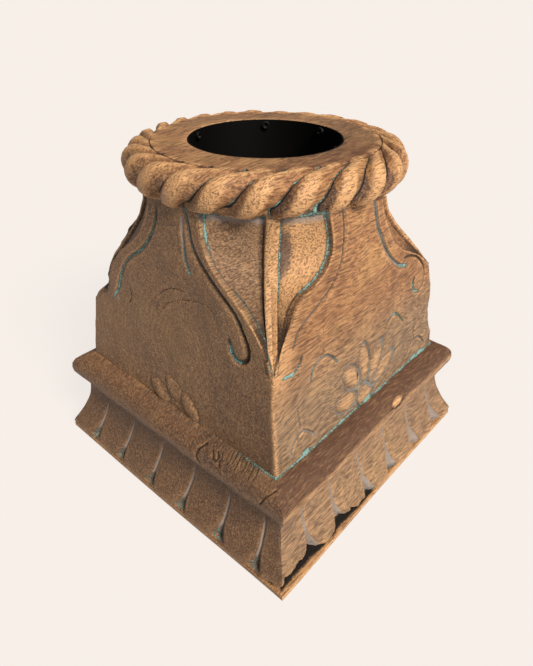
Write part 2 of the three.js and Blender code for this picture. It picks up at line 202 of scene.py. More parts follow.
def uneven(points, wave, seed):
    """A soft unevenness from about -1 to 1, with waves of about this length."""
    draw = np.random.default_rng(seed)
    total = np.zeros(len(points))
    for _ in range(7):
        way = draw.normal(size=3)
        way /= np.linalg.norm(way)
        pace = 2 * math.pi / (wave * draw.uniform(0.7, 1.5))
        total += np.sin(points @ way * pace + draw.uniform(0, 2 * math.pi))
    return total / 3.2


# The block's forms, all in millimetres. Face 0 looks along +X, and the others follow
# anticlockwise; u runs to the right across a face, seen from outside.

# Rows of the flat sheet that is bent into the block, from the floor up and down into the bore
ROWS = {"lip": 2, "slot": 3, "cove": 10, "ledge": 8, "body": 36, "rope": 11, "edge": 3,
        "flat": 5, "rim": 1, "bore": 4}
COLUMNS = 56
FACE_ORDER = np.array([2, 3, 0, 1])
FRONT, RIGHT = 3, 0

# Share of the cove's reach from the waist to the foot, against share of its height
COVE = [(0, 0.96), (0.03, 1.02), (0.08, 1.0), (0.15, 0.87), (0.3, 0.6), (0.47, 0.35), (0.66, 0.13),
        (0.85, 0.01), (1, 0)]
# The ledge: share of its height, share of its reach from the waist to its nose
LEDGE = [(0, 0.08), (0.14, 0.5), (0.3, 0.88), (0.43, 0.99), (0.56, 1.0), (0.7, 0.84), (0.82, 0.5),
         (0.91, 0.08), (0.97, -0.34), (1, -0.67)]

# Petal grooves: where each one ends at the foot and under the ledge, and how its hollow flares
PETAL_FEET = {FRONT: (-104, -63, -17, 24, 70, 111), RIGHT: (-101, -63, -18, 20, 64, 108)}
PETAL_HEADS = {FRONT: (-92, -50, -9, 33, 72, 108), RIGHT: (-97, -59, -17, 25, 66, 105)}
PLAIN_PETALS = (-105, -63, -21, 21, 63, 105)
PETAL_FLARE = {FRONT: (12, 8), RIGHT: (3.5, 18)}
PLAIN_FLARE = (7, 7)
PETAL_LINE, PETAL_DEPTH, HOLLOW_DEPTH = 2.1, 2.0, 8.0

# Broken noses of the petals: how high the wood is gone above the lip, against u
BROKEN = {RIGHT: [(-140, 6.5), (-133, 8.5), (-118, 9), (-104, 10), (-98, 8), (-88, 4.5), (-76, 2.6),
                  (-69, 4), (-64, 8.5), (-57, 7.5), (-45, 6), (-32, 4.6), (-22, 3.6), (-17, 5), (-11, 2),
                  (0, 0.4), (140, 0)],
          FRONT: [(-140, 0), (108, 0), (118, 1), (130, 3.6), (140, 6)]}

# How far the lip stands out before the noses, against u
RIGHT_STEP = [(-140, 5.2), (-115, 4.4), (-80, 2.8), (-55, 2.4), (-20, 2), (20, 1.6), (140, 1.2)]
FRONT_STEP = [(100, 0.7), (125, 3.4), (140, 8)]

# Corner leaves. Half-width of each corner, and of each leaf's edge on a face, against height
CORNERS = {
    3: [(176, 109.3), (181, 107.4), (187, 104.8), (197, 98.5), (210, 90), (223, 82), (236, 76),
        (250, 73), (300, 72)],
    2: [(156, 110.4), (162, 108), (166, 102.5), (171, 99.8), (183, 99.3), (190, 97.6), (199, 94.5),
        (210, 88.5), (223, 81.5), (236, 76), (250, 73), (300, 72)],
    0: [(110, 115), (117, 112.4), (125, 110.2), (133, 109.2), (141, 109.3), (150, 111), (160, 110.6),
        (173, 108.5), (186, 105), (197, 98.5), (210, 90), (223, 82), (236, 76), (250, 73), (300, 72)],
    1: [(176, 109.3), (187, 104.8), (197, 98.5), (210, 90), (223, 82), (236, 76), (250, 73), (300, 72)],
}
LEAF_EDGES = {
    (RIGHT, -1): [(177, 110), (187, 105), (192, 101.5), (200, 95), (206, 90.5), (211, 86.5), (217, 80.5),
                  (220.5, 76.5), (223.5, 71.5),
                  (225.2, 66), (226.8, 61.2), (229.8, 55.8), (233, 51), (236.7, 47), (242.5, 43.4),
                  (249, 41.8), (256, 42.2), (264, 44), (272, 46), (300, 50)],
    (RIGHT, 1): [(177, 110), (190, 96), (198, 84), (204, 72), (212, 55), (224, 40), (238, 31.5),
                 (254, 24.5), (266, 21.5), (300, 20)],
    (FRONT, 1): [(177, 110), (191, 100.5), (200, 92), (206.5, 84.5), (211.5, 78.3), (217, 69.8),
                 (222, 62.3), (228, 53), (234, 44.5), (240.6, 38.5), (250, 33), (260, 30.3), (269, 29),
                 (300, 28)],
    (FRONT, -1): [(150, 110), (159, 104), (166, 91), (171, 86), (190, 84), (196, 81), (212, 68),
                  (225, 51.5), (238, 39), (252, 32), (266, 27), (300, 25)],
}
LEAF_EDGES[(2, 1)] = LEAF_EDGES[(FRONT, -1)]
PLAIN_EDGE = [(177, 110), (188, 92), *LEAF_EDGES[(FRONT, -1)][5:]]
# Below its bowl the front leaf narrows to a slot by the rib: share of the slant it starts at
LEAF_SLOTS = {(RIGHT, -1): [(190, 0.1), (217, 0.08), (222.5, 0.04), (225, 0)]}
PLAIN_SLOT = [(190, 0.16), (212, 0.1), (226, 0)]
# Columns of the sheet at the middle of a face, the leaf's outline, the foot of its wall, both edges
# of the rib's side, and the corner
LEAF_COLUMNS = (0, 16, 17, 24, 25, COLUMNS // 2)
LEAF_TIP, LEAF_FULL = 177, 215
LEAF_SINK, RIB_HALF, RIB_PROUD = 3.8, 5.3, 3.0

# A carved line on a face: its points in (u, height), its depth, its half-widths to the left and
# right of the way it runs, and how much green paint, grey paint and dirt it holds. A depth or an
# amount is one number, or pairs of share along the line and value.
Cut = namedtuple("Cut", "face points depth left right green grey dirt")

FRONT_NEAR = [(14, 272), (19, 259), (24.4, 244), (37, 231.4), (52.3, 221), (68.8, 210.3), (77.5, 200.5),
              (84.5, 190), (85.2, 180.5), (80.5, 174.6), (74, 173.4), (68, 177.5), (65, 186)]
FRONT_FAR = [(-17.5, 268), (-19.5, 252), (-29.5, 234), (-41.5, 221.5), (-58, 208), (-68, 192), (-73, 178),
             (-80, 167.5)]
CUTS = [
    # Bands beside the leaves of the right face: groove, second fine line, hook and volute
    Cut(RIGHT, [(-31.5, 273), (-29.4, 260), (-30.4, 245), (-34, 233), (-44, 220.5), (-58, 212),
                (-73, 205), (-82, 198.5), (-88, 190)],
        [(0, 2.6), (0.6, 2.8), (0.85, 1.6), (1, 0.3)], 3.4, 1.3, 0.35, 0.5, 0.75),
    Cut(RIGHT, [(-27.6, 272), (-25.8, 259), (-26.6, 247), (-29.5, 236)], 0.8, 0.9, 0.9, 0, 0.3, 0.5),
    Cut(RIGHT, [(-79.5, 178.5), (-81, 173), (-86, 169.2), (-92, 169), (-98.5, 171)],
        [(0, 1.2), (0.5, 3), (1, 2)], 2.6, 1.8, [(0, 0.45), (0.45, 0.65), (0.6, 1), (1, 0.8)], 0.5, 0.8),
    Cut(RIGHT, [(11, 271), (15.4, 250), (20.6, 237), (30, 221), (41.5, 208.5), (52, 201), (60, 199)],
        [(0, 2.4), (0.7, 2.8), (1, 1.6)], 1.9, 4.2, [(0, 0.5), (0.75, 0.35), (0.9, 0.8), (1, 0.7)], 0.8, 0.6),
    Cut(RIGHT, [(57, 206), (69, 203.5), (81, 198), (91.5, 188), (95.6, 177.5), (93.6, 168), (86, 163.6),
                (78.5, 166.5), (74.8, 174), (76.5, 180)],
        [(0, 1.2), (0.3, 2.4), (0.8, 2.8), (1, 1)], 2, 1.9, [(0, 0.2), (0.6, 0.4), (0.75, 1), (1, 0.3)],
        0.3, 0.85),
    # Arches, spikes and low motifs of the right face
    Cut(RIGHT, [(-70, 153), (-66.5, 160.5), (-60, 165), (-52, 164.8), (-45.5, 160.5), (-39, 153)],
        2.4, 2.1, 1.7, 0.5, 0.7, 0.85),
    Cut(RIGHT, [(-55, 165), (-54.2, 178), (-54, 191)], 1.2, 1.6, 1.3, 0, 0.35, 0.3),
    Cut(RIGHT, [(29, 150.5), (34, 154.6), (40.5, 158), (47, 157), (53.5, 151), (59, 144.5)],
        2.2, 1.9, 1.6, [(0, 0.3), (0.4, 0.75), (1, 0.6)], 0.5, 0.8),
    Cut(RIGHT, [(50, 159), (52.2, 173), (53.4, 190)], 0.9, 1, 1, 0, 0.25, 0.2),
    Cut(RIGHT, [(-99, 101), (-97.5, 107), (-92, 113.5), (-86, 115.8), (-80, 113.8), (-70, 103)],
        2.1, 1.8, 1.8, 0.35, 0.7, 0.75),
    Cut(RIGHT, [(-85.8, 118), (-86, 128), (-86.2, 138)], 1.6, 1.7, 1.5, 0.2, 0.6, 0.6),
    Cut(RIGHT, [(69, 103), (73, 110), (80, 114.6), (88, 114), (96, 109), (100.5, 102)],
        2.1, 1.8, 1.6, 0.35, 0.6, 0.8),
    Cut(RIGHT, [(81, 117.5), (79.5, 124), (84, 130), (90, 133)], 1.6, 1.6, 1.6, 0.1, 0.2, 0.7),
    # Bands beside the leaves of the front face, a worn channel, a small curl and growth-ring cracks
    Cut(FRONT, FRONT_NEAR, [(0, 2.6), (0.45, 3.2), (0.75, 3), (0.92, 3.4), (1, 1.4)], 1.9, 4.4,
        [(0, 0.5), (0.25, 0.3), (0.45, 0.5), (0.7, 0.1), (0.84, 0.9), (0.93, 1), (1, 0.4)],
        [(0, 0.7), (0.5, 0.5), (0.7, 0.1), (1, 0.4)], 0.9),
    Cut(FRONT, [(11, 262), (13, 246), (15.5, 234), (20, 223)], 1.5, 3.4, 2,
        [(0, 0.2), (0.6, 0.6), (1, 0.7)], 0.95, 0.2),
    Cut(FRONT, FRONT_FAR, [(0, 2.4), (0.8, 2.8), (1, 1.6)], 3.4, 1.8,
        [(0, 0.45), (0.3, 0.7), (0.6, 0.5), (0.8, 0.85), (1, 0.7)], 0.6, 0.6),
    Cut(FRONT, [(-74, 176), (-71, 172), (-72, 167)], 1.2, 1, 1, 0.8, 0.4, 0.5),
    Cut(FRONT, [(-54.5, 183), (-53, 177), (-57, 170)], 1.0, 1, 1, 0, 0.1, 0.9),
    Cut(FRONT, [(-17, 191.5), (-8, 199.5), (4, 205), (15, 206)], 0.5, 0.7, 0.7, 0, 0, 0.8),
    Cut(FRONT, [(-11.5, 182), (-4, 189.7), (7, 196), (23.4, 202), (39.3, 204.5), (48.7, 201)],
        0.5, 0.7, 0.7, 0, 0, 0.7),
    # Sides that are out of sight: plain bands like the front's
    *[Cut(face, [(side * u, z) for u, z in FRONT_NEAR], [(0, 2.6), (0.45, 3), (1, 1.2)],
          *((1.2, 3.6) if side > 0 else (3.6, 1.2)), 0.15, 0.3, 0.8)
      for face in (1, 2) for side in (-1, 1)],
]

# Cracks and scars on the ledge and on the cove under it, drawn in the same way
SCARS = [
    Cut(RIGHT, [(88, 84), (97, 80), (104, 78)], 0.7, 0.9, 0.9, 0, 0, 0.4),
    Cut(RIGHT, [(121, 80), (126, 84)], 0.8, 1, 1, 0, 0, 0.3),
    Cut(RIGHT, [(-33, 85), (-20, 79), (-8, 74)], 0.5, 0.9, 0.9, 0, 0, 0.3),
    Cut(FRONT, [(52, 91), (47, 86), (46, 80), (50, 76)], 1.6, 1.0, 1.4, 0, 0, 1),
    Cut(FRONT, [(60, 90), (64, 86), (67, 88), (64, 91)], 1.3, 0.9, 0.9, 0, 0, 1),
    Cut(FRONT, [(68, 92), (70.5, 89), (68.5, 86.5), (71, 84)], 1.0, 0.8, 0.8, 0, 0, 0.9),
    *[Cut(FRONT, [(u, 94), (u + 1.8, 92 - long / 3), (u + 1.4, 90.5 - long)], 0.8, 0.7, 0.7, 0, 0, 0.85)
      for u, long in ((75, 2), (78.5, 0.5), (82.5, 3), (85.5, 1), (89.5, 2), (92, 0), (96.5, 3), (101, 1))],
    Cut(FRONT, [(112, 78), (115, 84), (121, 90), (127, 94)], 1.1, 0.8, 0.8, 0, 0, 1),
    Cut(FRONT, [(47, 30), (50, 37), (53, 45)], 0.6, 0.8, 0.8, 0, 0.6, 0.2),
]

# Petals of the rosettes: middle u and height, half length, half width, angle in degrees
RIGHT_PETALS = [(-1.5, 132, 19.5, 7.5, 94), (14.5, 124.5, 20, 7.5, 60), (26.5, 113.5, 20, 7.5, 27),
                (-19.5, 127.5, 15, 9.5, 128), (-27.5, 107.5, 15.5, 9.5, 164)]
RIGHT_BUTTON = (-1, 100, 11.5, 10.5, 0)
FRONT_PETALS = [(-17.5, 101.5, 14, 8.2, -28), (1.5, 112, 13.5, 8, -40), (21.5, 103.5, 14, 8, -48)]
PLAIN_PETALS_WORN = [(-18, 106, 14, 8, 152), (0, 113, 14, 8, 90), (18, 106, 14, 8, 28)]

# Rope strands: phase across a strand from one groove to the next, and height there
STRAND = [(0, 0), (0.04, 0.12), (0.09, 0.36), (0.15, 0.66), (0.21, 0.87), (0.28, 0.95), (0.4, 0.99),
          (0.56, 1), (0.62, 0.97), (0.66, 0.86), (0.73, 0.6), (0.82, 0.34), (0.92, 0.12), (1, 0)]
# Round the rope's section: angle, and how deep the grooves are there
RELIEF = [(-95, 0.5), (-82, 0.8), (-65, 0.95), (-50, 1), (30, 1), (50, 0.92), (70, 0.78), (85, 0.64),
          (97, 0.5)]
# How far the strands lean there, in strands, against the middle of the rope
LEAN = [(-90, -0.34), (-70, -0.29), (-50, -0.22), (-35, -0.15), (-20, -0.08), (0, 0), (20, 0.075),
        (35, 0.13), (60, 0.24), (80, 0.37), (90, 0.46), (97, 0.55)]
EDGE_LEAN = 1.2
STRANDS = 24
# The rope's section ends at this angle; round the first azimuth the strands' walls carry the most painted
# shade, and round the second the most green paint
ROPE_END = 97
SHADY_STRANDS, PAINTED_STRANDS = 340, 318


def plane_shares(x, y):
    """Face, and share across it from -1 to 1, for places on the flat sheet."""
    turn = np.minimum(np.floor(x + 1e-6).astype(int), 3)
    return FACE_ORDER[turn], np.clip(2 * (x - turn) - 1, -1, 1)


def region_rows():
    start = 0
    for name, rows in ROWS.items():
        yield name, start, start + rows
        start += rows


def region_start(wanted):
    return next(start for name, start, _ in region_rows() if name == wanted)


def on_face(face, out, u, z):
    turn = face * (math.pi / 2)
    cos, sin = np.round(np.cos(turn)), np.round(np.sin(turn))
    return np.stack([out * cos - u * sin, out * sin + u * cos, z], 1)


def value_at(amount, share):
    return np.interp(share, *zip(*amount)) if isinstance(amount, list) else np.full(len(share), amount)


def line_distance(u, z, line):
    """Distance from each place to a line, positive on its left, and the share along it."""
    start, way = line[:-1], np.diff(line, axis=0)
    place = np.stack([u, z], 1)[:, None, :]
    k = unit(((place - start) * way).sum(2) / (way ** 2).sum(1))
    gap = place - (start + k[..., None] * way)
    best = np.hypot(gap[..., 0], gap[..., 1]).argmin(1)
    pick = np.arange(len(u))
    gap, k, way = gap[pick, best], k[pick, best], way[best]
    side = np.sign(way[:, 0] * gap[:, 1] - way[:, 1] * gap[:, 0])
    return np.hypot(gap[:, 0], gap[:, 1]) * np.where(side == 0, 1, side), (best + k) / len(start)


class Surface:
    """What is known of a set of places on the block: how they sink and what lies on them."""

    def __init__(self, count):
        self.sink = np.zeros(count)
        self.near = np.full(count, 99.0)
        # Among the marks, black is painted shade, and dirt and stain carry some painted shade too.
        self.marks = {name: np.zeros(count) for name in ("green", "grey", "dirt", "stain", "worn",
                                                         "rough", "black", "brown", "faded")}

    def mark(self, name, amount, where=slice(None)):
        """Adds to what lies here, where there isn't as much of it yet."""
        marks = self.marks[name]
        marks[where] = np.maximum(marks[where], amount)

    def come_near(self, distance, where=slice(None)):
        """Notes that carving is this close, in millimetres."""
        self.near[where] = np.minimum(self.near[where], distance)


def cut_lines(surface, face, u, z, cuts):
    """Carves the lines of a face into the wood and puts what they hold into them."""
    reach = 9
    for cut in cuts:
        line = smooth_points(cut.points)
        low, high = line.min(0) - reach, line.max(0) + reach
        near = (face == cut.face) & (u > low[0]) & (u < high[0]) & (z > low[1]) & (z < high[1])
        where = np.flatnonzero(near)
        if not len(where):
            continue
        gap, share = line_distance(u[where], z[where], line)
        width = np.where(gap > 0, cut.left, cut.right)
        side = bump(gap, 0, width)
        ends = np.minimum(1, 0.25 + 9 * np.minimum(share, 1 - share))
        depth = value_at(cut.depth, share) * ends
        surface.sink[where] = np.maximum(surface.sink[where], depth * side ** 1.3)
        surface.come_near(np.maximum(np.abs(gap) - width * 0.5, 0), where)
        deep = unit(1.6 * side)
        for name in ("green", "grey", "dirt"):
            surface.mark(name, value_at(getattr(cut, name), share) * deep, where)
        rim = bump(np.abs(gap) - width * 1.15, 0, 1.1)
        surface.mark("worn", 0.45 * rim * unit(depth / 2), where)


def cut_petals(surface, face, u, z, which, petals, groove, raised):
    """Sinks a soft groove round each petal and lets the petal rise from it."""
    for middle_u, middle_z, long, wide, angle in petals:
        turn = math.radians(angle)
        a = (u - middle_u) * math.cos(turn) + (z - middle_z) * math.sin(turn)
        b = -(u - middle_u) * math.sin(turn) + (z - middle_z) * math.cos(turn)
        ring = np.hypot(a / long, b / wide)
        where = np.flatnonzero((face == which) & (ring < 2))
        r = ring[where]
        size = math.sqrt(long * wide)
        inside = (r - 1) * size
        bed = groove * np.where(inside < 0, unit(1 + inside / (0.45 * size)) ** 1.6,
                                unit(1 - inside / 2.4) ** 1.3)
        lift = raised * unit(1 - r ** 2) ** 0.5
        surface.sink[where] = np.where(r < 1, bed - lift, np.maximum(surface.sink[where], bed))
        surface.come_near(np.abs(inside), where)
        edge = bump(inside, 0.3, 1.7, 1.3)
        strong = 1 if which == RIGHT else 0.45
        surface.mark("grey", 0.75 * edge * strong, where)
        surface.mark("green", 0.45 * edge * strong, where)
        surface.mark("dirt", 0.85 * edge * strong, where)
        if which == FRONT:
            between = unit(1.6 - r) * (r > 0.9) * smoothstep(z[where], 116, 104)
            surface.mark("green", 0.62 * between, where)
        surface.mark("worn", (0.65 if which == RIGHT else 0.08) * unit(1.8 - 1.9 * r), where)


# Parts of the block

def lip_and_slot(s, surface, face, u_share, region, share):
    """The plain lip, and the thin slot between it and the petals' noses, darkened there as painted shade."""
    u = u_share * s.foot_half
    lift = np.zeros(len(u))
    for side, profile in BROKEN.items():
        here = face == side
        jag = 0.6 * np.sin(u * 0.41) + 0.2 * np.sin(u * 1.3 + 1)
        raised = np.interp(u, *zip(*profile))
        lift = np.where(here, raised + jag * unit(raised / 4), lift)
    if region == "lip":
        z = share * s.lip
        out = s.foot_half - 0.7 * unit(1 - z / 1.2) ** 2 - 0.3 * smoothstep(z, s.lip - 1, s.lip)
        surface.mark("worn", np.where(face == RIGHT, 0.8, 0.35))
        surface.come_near(3.0)
        return out, u_share * out, z, lift
    step = np.where(face == RIGHT, np.interp(u, *zip(*RIGHT_STEP)), np.interp(u, *zip(*FRONT_STEP)))
    depth = step + 1.2 * lift
    nose = 0.3 + 0.22 * lift
    k = np.clip(share * 3, 0, 3)
    inward = np.where(k <= 2, np.minimum(k, 1) * depth, depth + (nose - depth) * (k - 2))
    gap = 0.35 + 0.55 * lift
    z = s.lip + np.where(k <= 1, 0.05, np.where(k <= 2, 0.05 + (k - 1) * gap,
                                                0.05 + gap + (k - 2) * (0.4 + 0.45 * lift)))
    inset = np.where(k <= 1, k * depth, 9)
    # The slot's dirt and black are painted shade of the undercut along with dirt, strongest where the noses
    # are broken higher.
    surface.mark("dirt", unit(0.3 + lift / 2.5) * smoothstep(inset, step * 0.6, step + 0.4))
    surface.mark("black", unit(lift / 2) * smoothstep(inset, step, step + 1))
    surface.mark("worn", (face == RIGHT) * smoothstep(inset, step + 0.5, step * 0.5))
    surface.come_near(np.where(lift > 0.5, 2.0, 5.0))
    out = s.foot_half - 0.3 - inward
    return out, u_share * out, z, lift


def petal_relief(s, surface, face, u, share):
    """The grooves between the petals, which flare to hollows at the foot."""
    z = s.lip + share * s.petals
    draw = np.random.default_rng(5)
    for which in range(4):
        feet = PETAL_FEET.get(which, PLAIN_PETALS)
        heads = PETAL_HEADS.get(which, PLAIN_PETALS)
        flare = PETAL_FLARE.get(which, PLAIN_FLARE)
        for foot, head in zip(feet, heads):
            line = foot + (head - foot) * unit(share) ** 0.75
            gap = u - line
            grow = draw.uniform(0.85, 1.1)
            opened = unit(1 - share / (0.43 if which == RIGHT else 0.36)) ** (1.15 if which == RIGHT else 1.5)
            shut = np.ones(len(z)) if which == RIGHT else smoothstep(z, s.lip + 1.5, s.lip + 4)
            line_half = PETAL_LINE * np.interp(share, [0, 0.5, 1], [1, 0.95, 0.7])
            wide = line_half + np.where(gap < 0, flare[0], flare[1]) * opened * grow * shut
            deep = PETAL_DEPTH + (HOLLOW_DEPTH - PETAL_DEPTH) * opened * grow
            deep = deep * shut
            where = np.flatnonzero((face == which) & (np.abs(gap) < wide + 12))
            g, w, d, o = np.abs(gap)[where], wide[where], deep[where], opened[where]
            side = unit(1 - g / w)
            top = smoothstep(share[where], 1.0, 0.93)
            pillow = 0.9 * np.exp(-g / 7)
            surface.sink[where] = np.maximum(surface.sink[where], (d * side ** 1.25) * top + pillow)
            surface.come_near(np.maximum(g - w * 0.8, 0), where)
            inner = unit(side * 2.2)
            low = smoothstep(z[where], s.lip + 8, s.lip + 3)
            pale = 0.95 - 0.1 * o if which == RIGHT else 0.9 - 0.4 * unit(3 * o)
            surface.mark("grey", inner * pale * top, where)
            surface.mark("dirt", inner * (which != RIGHT) * np.clip(3 * o, 0, 0.55), where)
            speck = 0.5 + 0.5 * np.sin(0.9 * z[where] + 1.7 * gap[where] + foot)
            paint = (0.35 + 0.65 * speck) * (0.66 if which != RIGHT else 0.1)
            surface.mark("green", inner * unit(2.2 * o) * paint, where)
            # On the right face the hollows are painted near-black towards the foot, as shade.
            if which == RIGHT:
                surface.mark("black", unit(side * 2) * low * (0.4 + 0.6 * (foot < 40)), where)
            surface.mark("dirt", bump(g, w, 1.5) * 0.55 * top, where)
            rim = bump(g - w * 1.1, 0, 1.4)
            surface.mark("worn", 0.35 * rim, where)


def cove(s, surface, face, u_share, share, lift):
    foot = s.lip + 0.8 + lift
    z = foot + share * (s.lip + s.petals - foot)
    broken = 0.22 * lift * unit(1 - share * 7)
    height = (z - s.lip) / s.petals
    _, reach = along(COVE, index_of(COVE, height))
    half = s.waist_half + (s.foot_half - 0.3 - s.waist_half) * reach
    u = u_share * half
    petal_relief(s, surface, face, u, height)
    fade = smoothstep(np.abs(u_share), 1.0, 0.975)
    surface.sink *= fade
    surface.mark("rough", unit(lift / 5) * unit(1 - share * 5))
    # The cove is made darker along its top, under the ledge.
    surface.mark("dirt", 0.85 * smoothstep(height, 0.955, 1.0))
    surface.mark("worn", 0.4 * unit(1 - np.abs(share) * 12))
    surface.mark("brown", np.where(face == RIGHT, 0, 0.55))
    surface.mark("faded", np.where(face == RIGHT, 0.75, 0.5))
    surface.come_near(np.minimum((z - foot) + 0.5, (s.lip + s.petals - z) + 0.8))
    out = half - surface.sink - broken
    return out, u_share * np.where(np.abs(u_share) > 0.975, out, half), z


def index_of(points, value):
    """Share along a smooth line at which its first coordinate has a value."""
    line = smooth_points(points, 8)[:, 0]
    return np.interp(value, line, np.linspace(0, 1, len(line)))


def crumbling(u):
    """How much of the joint's paint is left along a face, from 0 to 1."""
    return 0.5 + 0.5 * np.sin(u * 0.31 + 2) * np.sin(u * 0.13)


def ledge(s, surface, face, u_share, share):
    foot = s.lip + s.petals
    height, reach = along(LEDGE, share)
    half = s.waist_half + reach * (s.ledge_half - s.waist_half)
    z = foot + height * s.ledge
    u = u_share * half
    cut_lines(surface, face, u, z, SCARS)
    fade = smoothstep(np.abs(u_share), 1.0, 0.975)
    surface.sink *= fade
    joint = smoothstep(height, 0.985, 0.998)
    crumb = crumbling(u)
    elsewhere = np.where(face == FRONT, smoothstep(u, 35, 115) * 0.85, 0.2 * crumb)
    surface.mark("green", joint * np.where(face == RIGHT, 0.6 + 0.4 * crumb, elsewhere))
    surface.mark("green", (face == FRONT) * smoothstep(u, -60, -20) * smoothstep(height, 0.8, 0.97) * 0.3)
    surface.mark("dirt", 0.6 * joint)
    # The ledge is made darker along its foot, by the waist.
    surface.mark("dirt", 0.6 * smoothstep(height, 0.07, 0.0))
    surface.mark("brown", np.where(face == RIGHT, smoothstep(height, 0.5, 0.66), 0.6))
    surface.mark("faded", 0.5)
    surface.mark("worn", np.where(face == RIGHT, 0.45, 0.15) * bump(height, 0.47, 0.13))
    ragged = smoothstep(u, 35, 48) * smoothstep(u, 108, 98) * smoothstep(height, 0.45, 0.7)
    surface.mark("rough", ragged * (face == FRONT))
    surface.come_near(9.0)
    surface.come_near(np.minimum(height * s.ledge + 1.5, (1 - height) * s.ledge + 0.3))
    knot = np.hypot((u - 28.5) / 9.5, (z - 82.4) / 3.8)
    chip = (face == RIGHT) * unit(2.2 - 2.2 * knot)
    surface.sink += 1.8 * chip ** 0.7
    surface.mark("worn", chip)
    surface.marks["brown"] *= 1 - chip
    # Its lower rim is painted near-black as the shadow of the chip's undercut.
    lower_rim = bump(knot, 1, 0.3) * (z < 81.8) * (face == RIGHT)
    surface.mark("black", lower_rim)
    surface.come_near(np.where(face == RIGHT, np.abs(knot - 0.8) * 9, 99))
    out = half - surface.sink
    return out, u_share * np.where(np.abs(u_share) > 0.975, out, half), z


def body_half_at(s, z):
    foot = s.lip + s.petals + s.ledge
    return s.body_half - s.body_lean * (z - foot) / (s.height - s.rope - foot)


def leaf_shape(s, face, u_share, z):
    """Half-width, leaf edge, corner and the way round them at a height."""
    half = body_half_at(s, z)
    corner, edge = half.copy(), np.zeros(len(z))
    side = np.where(u_share < 0, -1, 1)
    for which in range(4):
        for hand in (-1, 1):
            here = (face == which) & (side == hand)
            at = z[here]
            after = which if hand > 0 else (which - 1) % 4
            corner[here] = np.interp(at, *zip(*CORNERS[after]))
            edge[here] = np.interp(at, *zip(*LEAF_EDGES.get((which, hand), PLAIN_EDGE)))
    below = {k: v[0][0] for k, v in CORNERS.items()}
    after = np.where(side > 0, face, (face - 1) % 4)
    low = np.choose(after, [below[k] for k in range(4)])
    corner = np.where(z < low, half, np.minimum(corner, half))
    grown = smoothstep(z, LEAF_TIP, LEAF_FULL)
    rib = RIB_HALF * (0.6 + 0.4 * grown)
    edge = np.minimum(edge, corner - 1.15 * rib * math.sqrt(0.5) - 0.01)
    return half, corner, edge, rib, grown, side


def leaf_slot(face, side, z):
    """Share of the slant at which the leaf's hollow starts."""
    start = np.interp(z, *zip(*PLAIN_SLOT))
    for (which, hand), slot in LEAF_SLOTS.items():
        start = np.where((face == which) & (side == hand), np.interp(z, *zip(*slot)), start)
    return start


def leaf_columns(u_share, z, outline, total, rib):
    """Way round from the middle of a face: the sheet's columns follow the outline of the leaf and
    the sides of its rib, and spread evenly again below the leaf."""
    columns = np.abs(u_share) * COLUMNS / 2
    floor_end = np.maximum(total - rib * 1.14, outline + 0.95)
    rib_top = np.maximum(total - rib * 0.9, floor_end + 0.05)
    ends = [np.zeros(len(z)), outline, outline + 0.9, floor_end, rib_top, np.maximum(total, rib_top + 0.05)]
    way = np.zeros(len(z))
    for (low, high), start, end in zip(zip(LEAF_COLUMNS, LEAF_COLUMNS[1:]), ends, ends[1:]):
        way += unit((columns - low) / (high - low)) * (end - start)
    even = smoothstep(z, 176, 120)
    return np.minimum(way + even * (np.abs(u_share) * total - way), total)


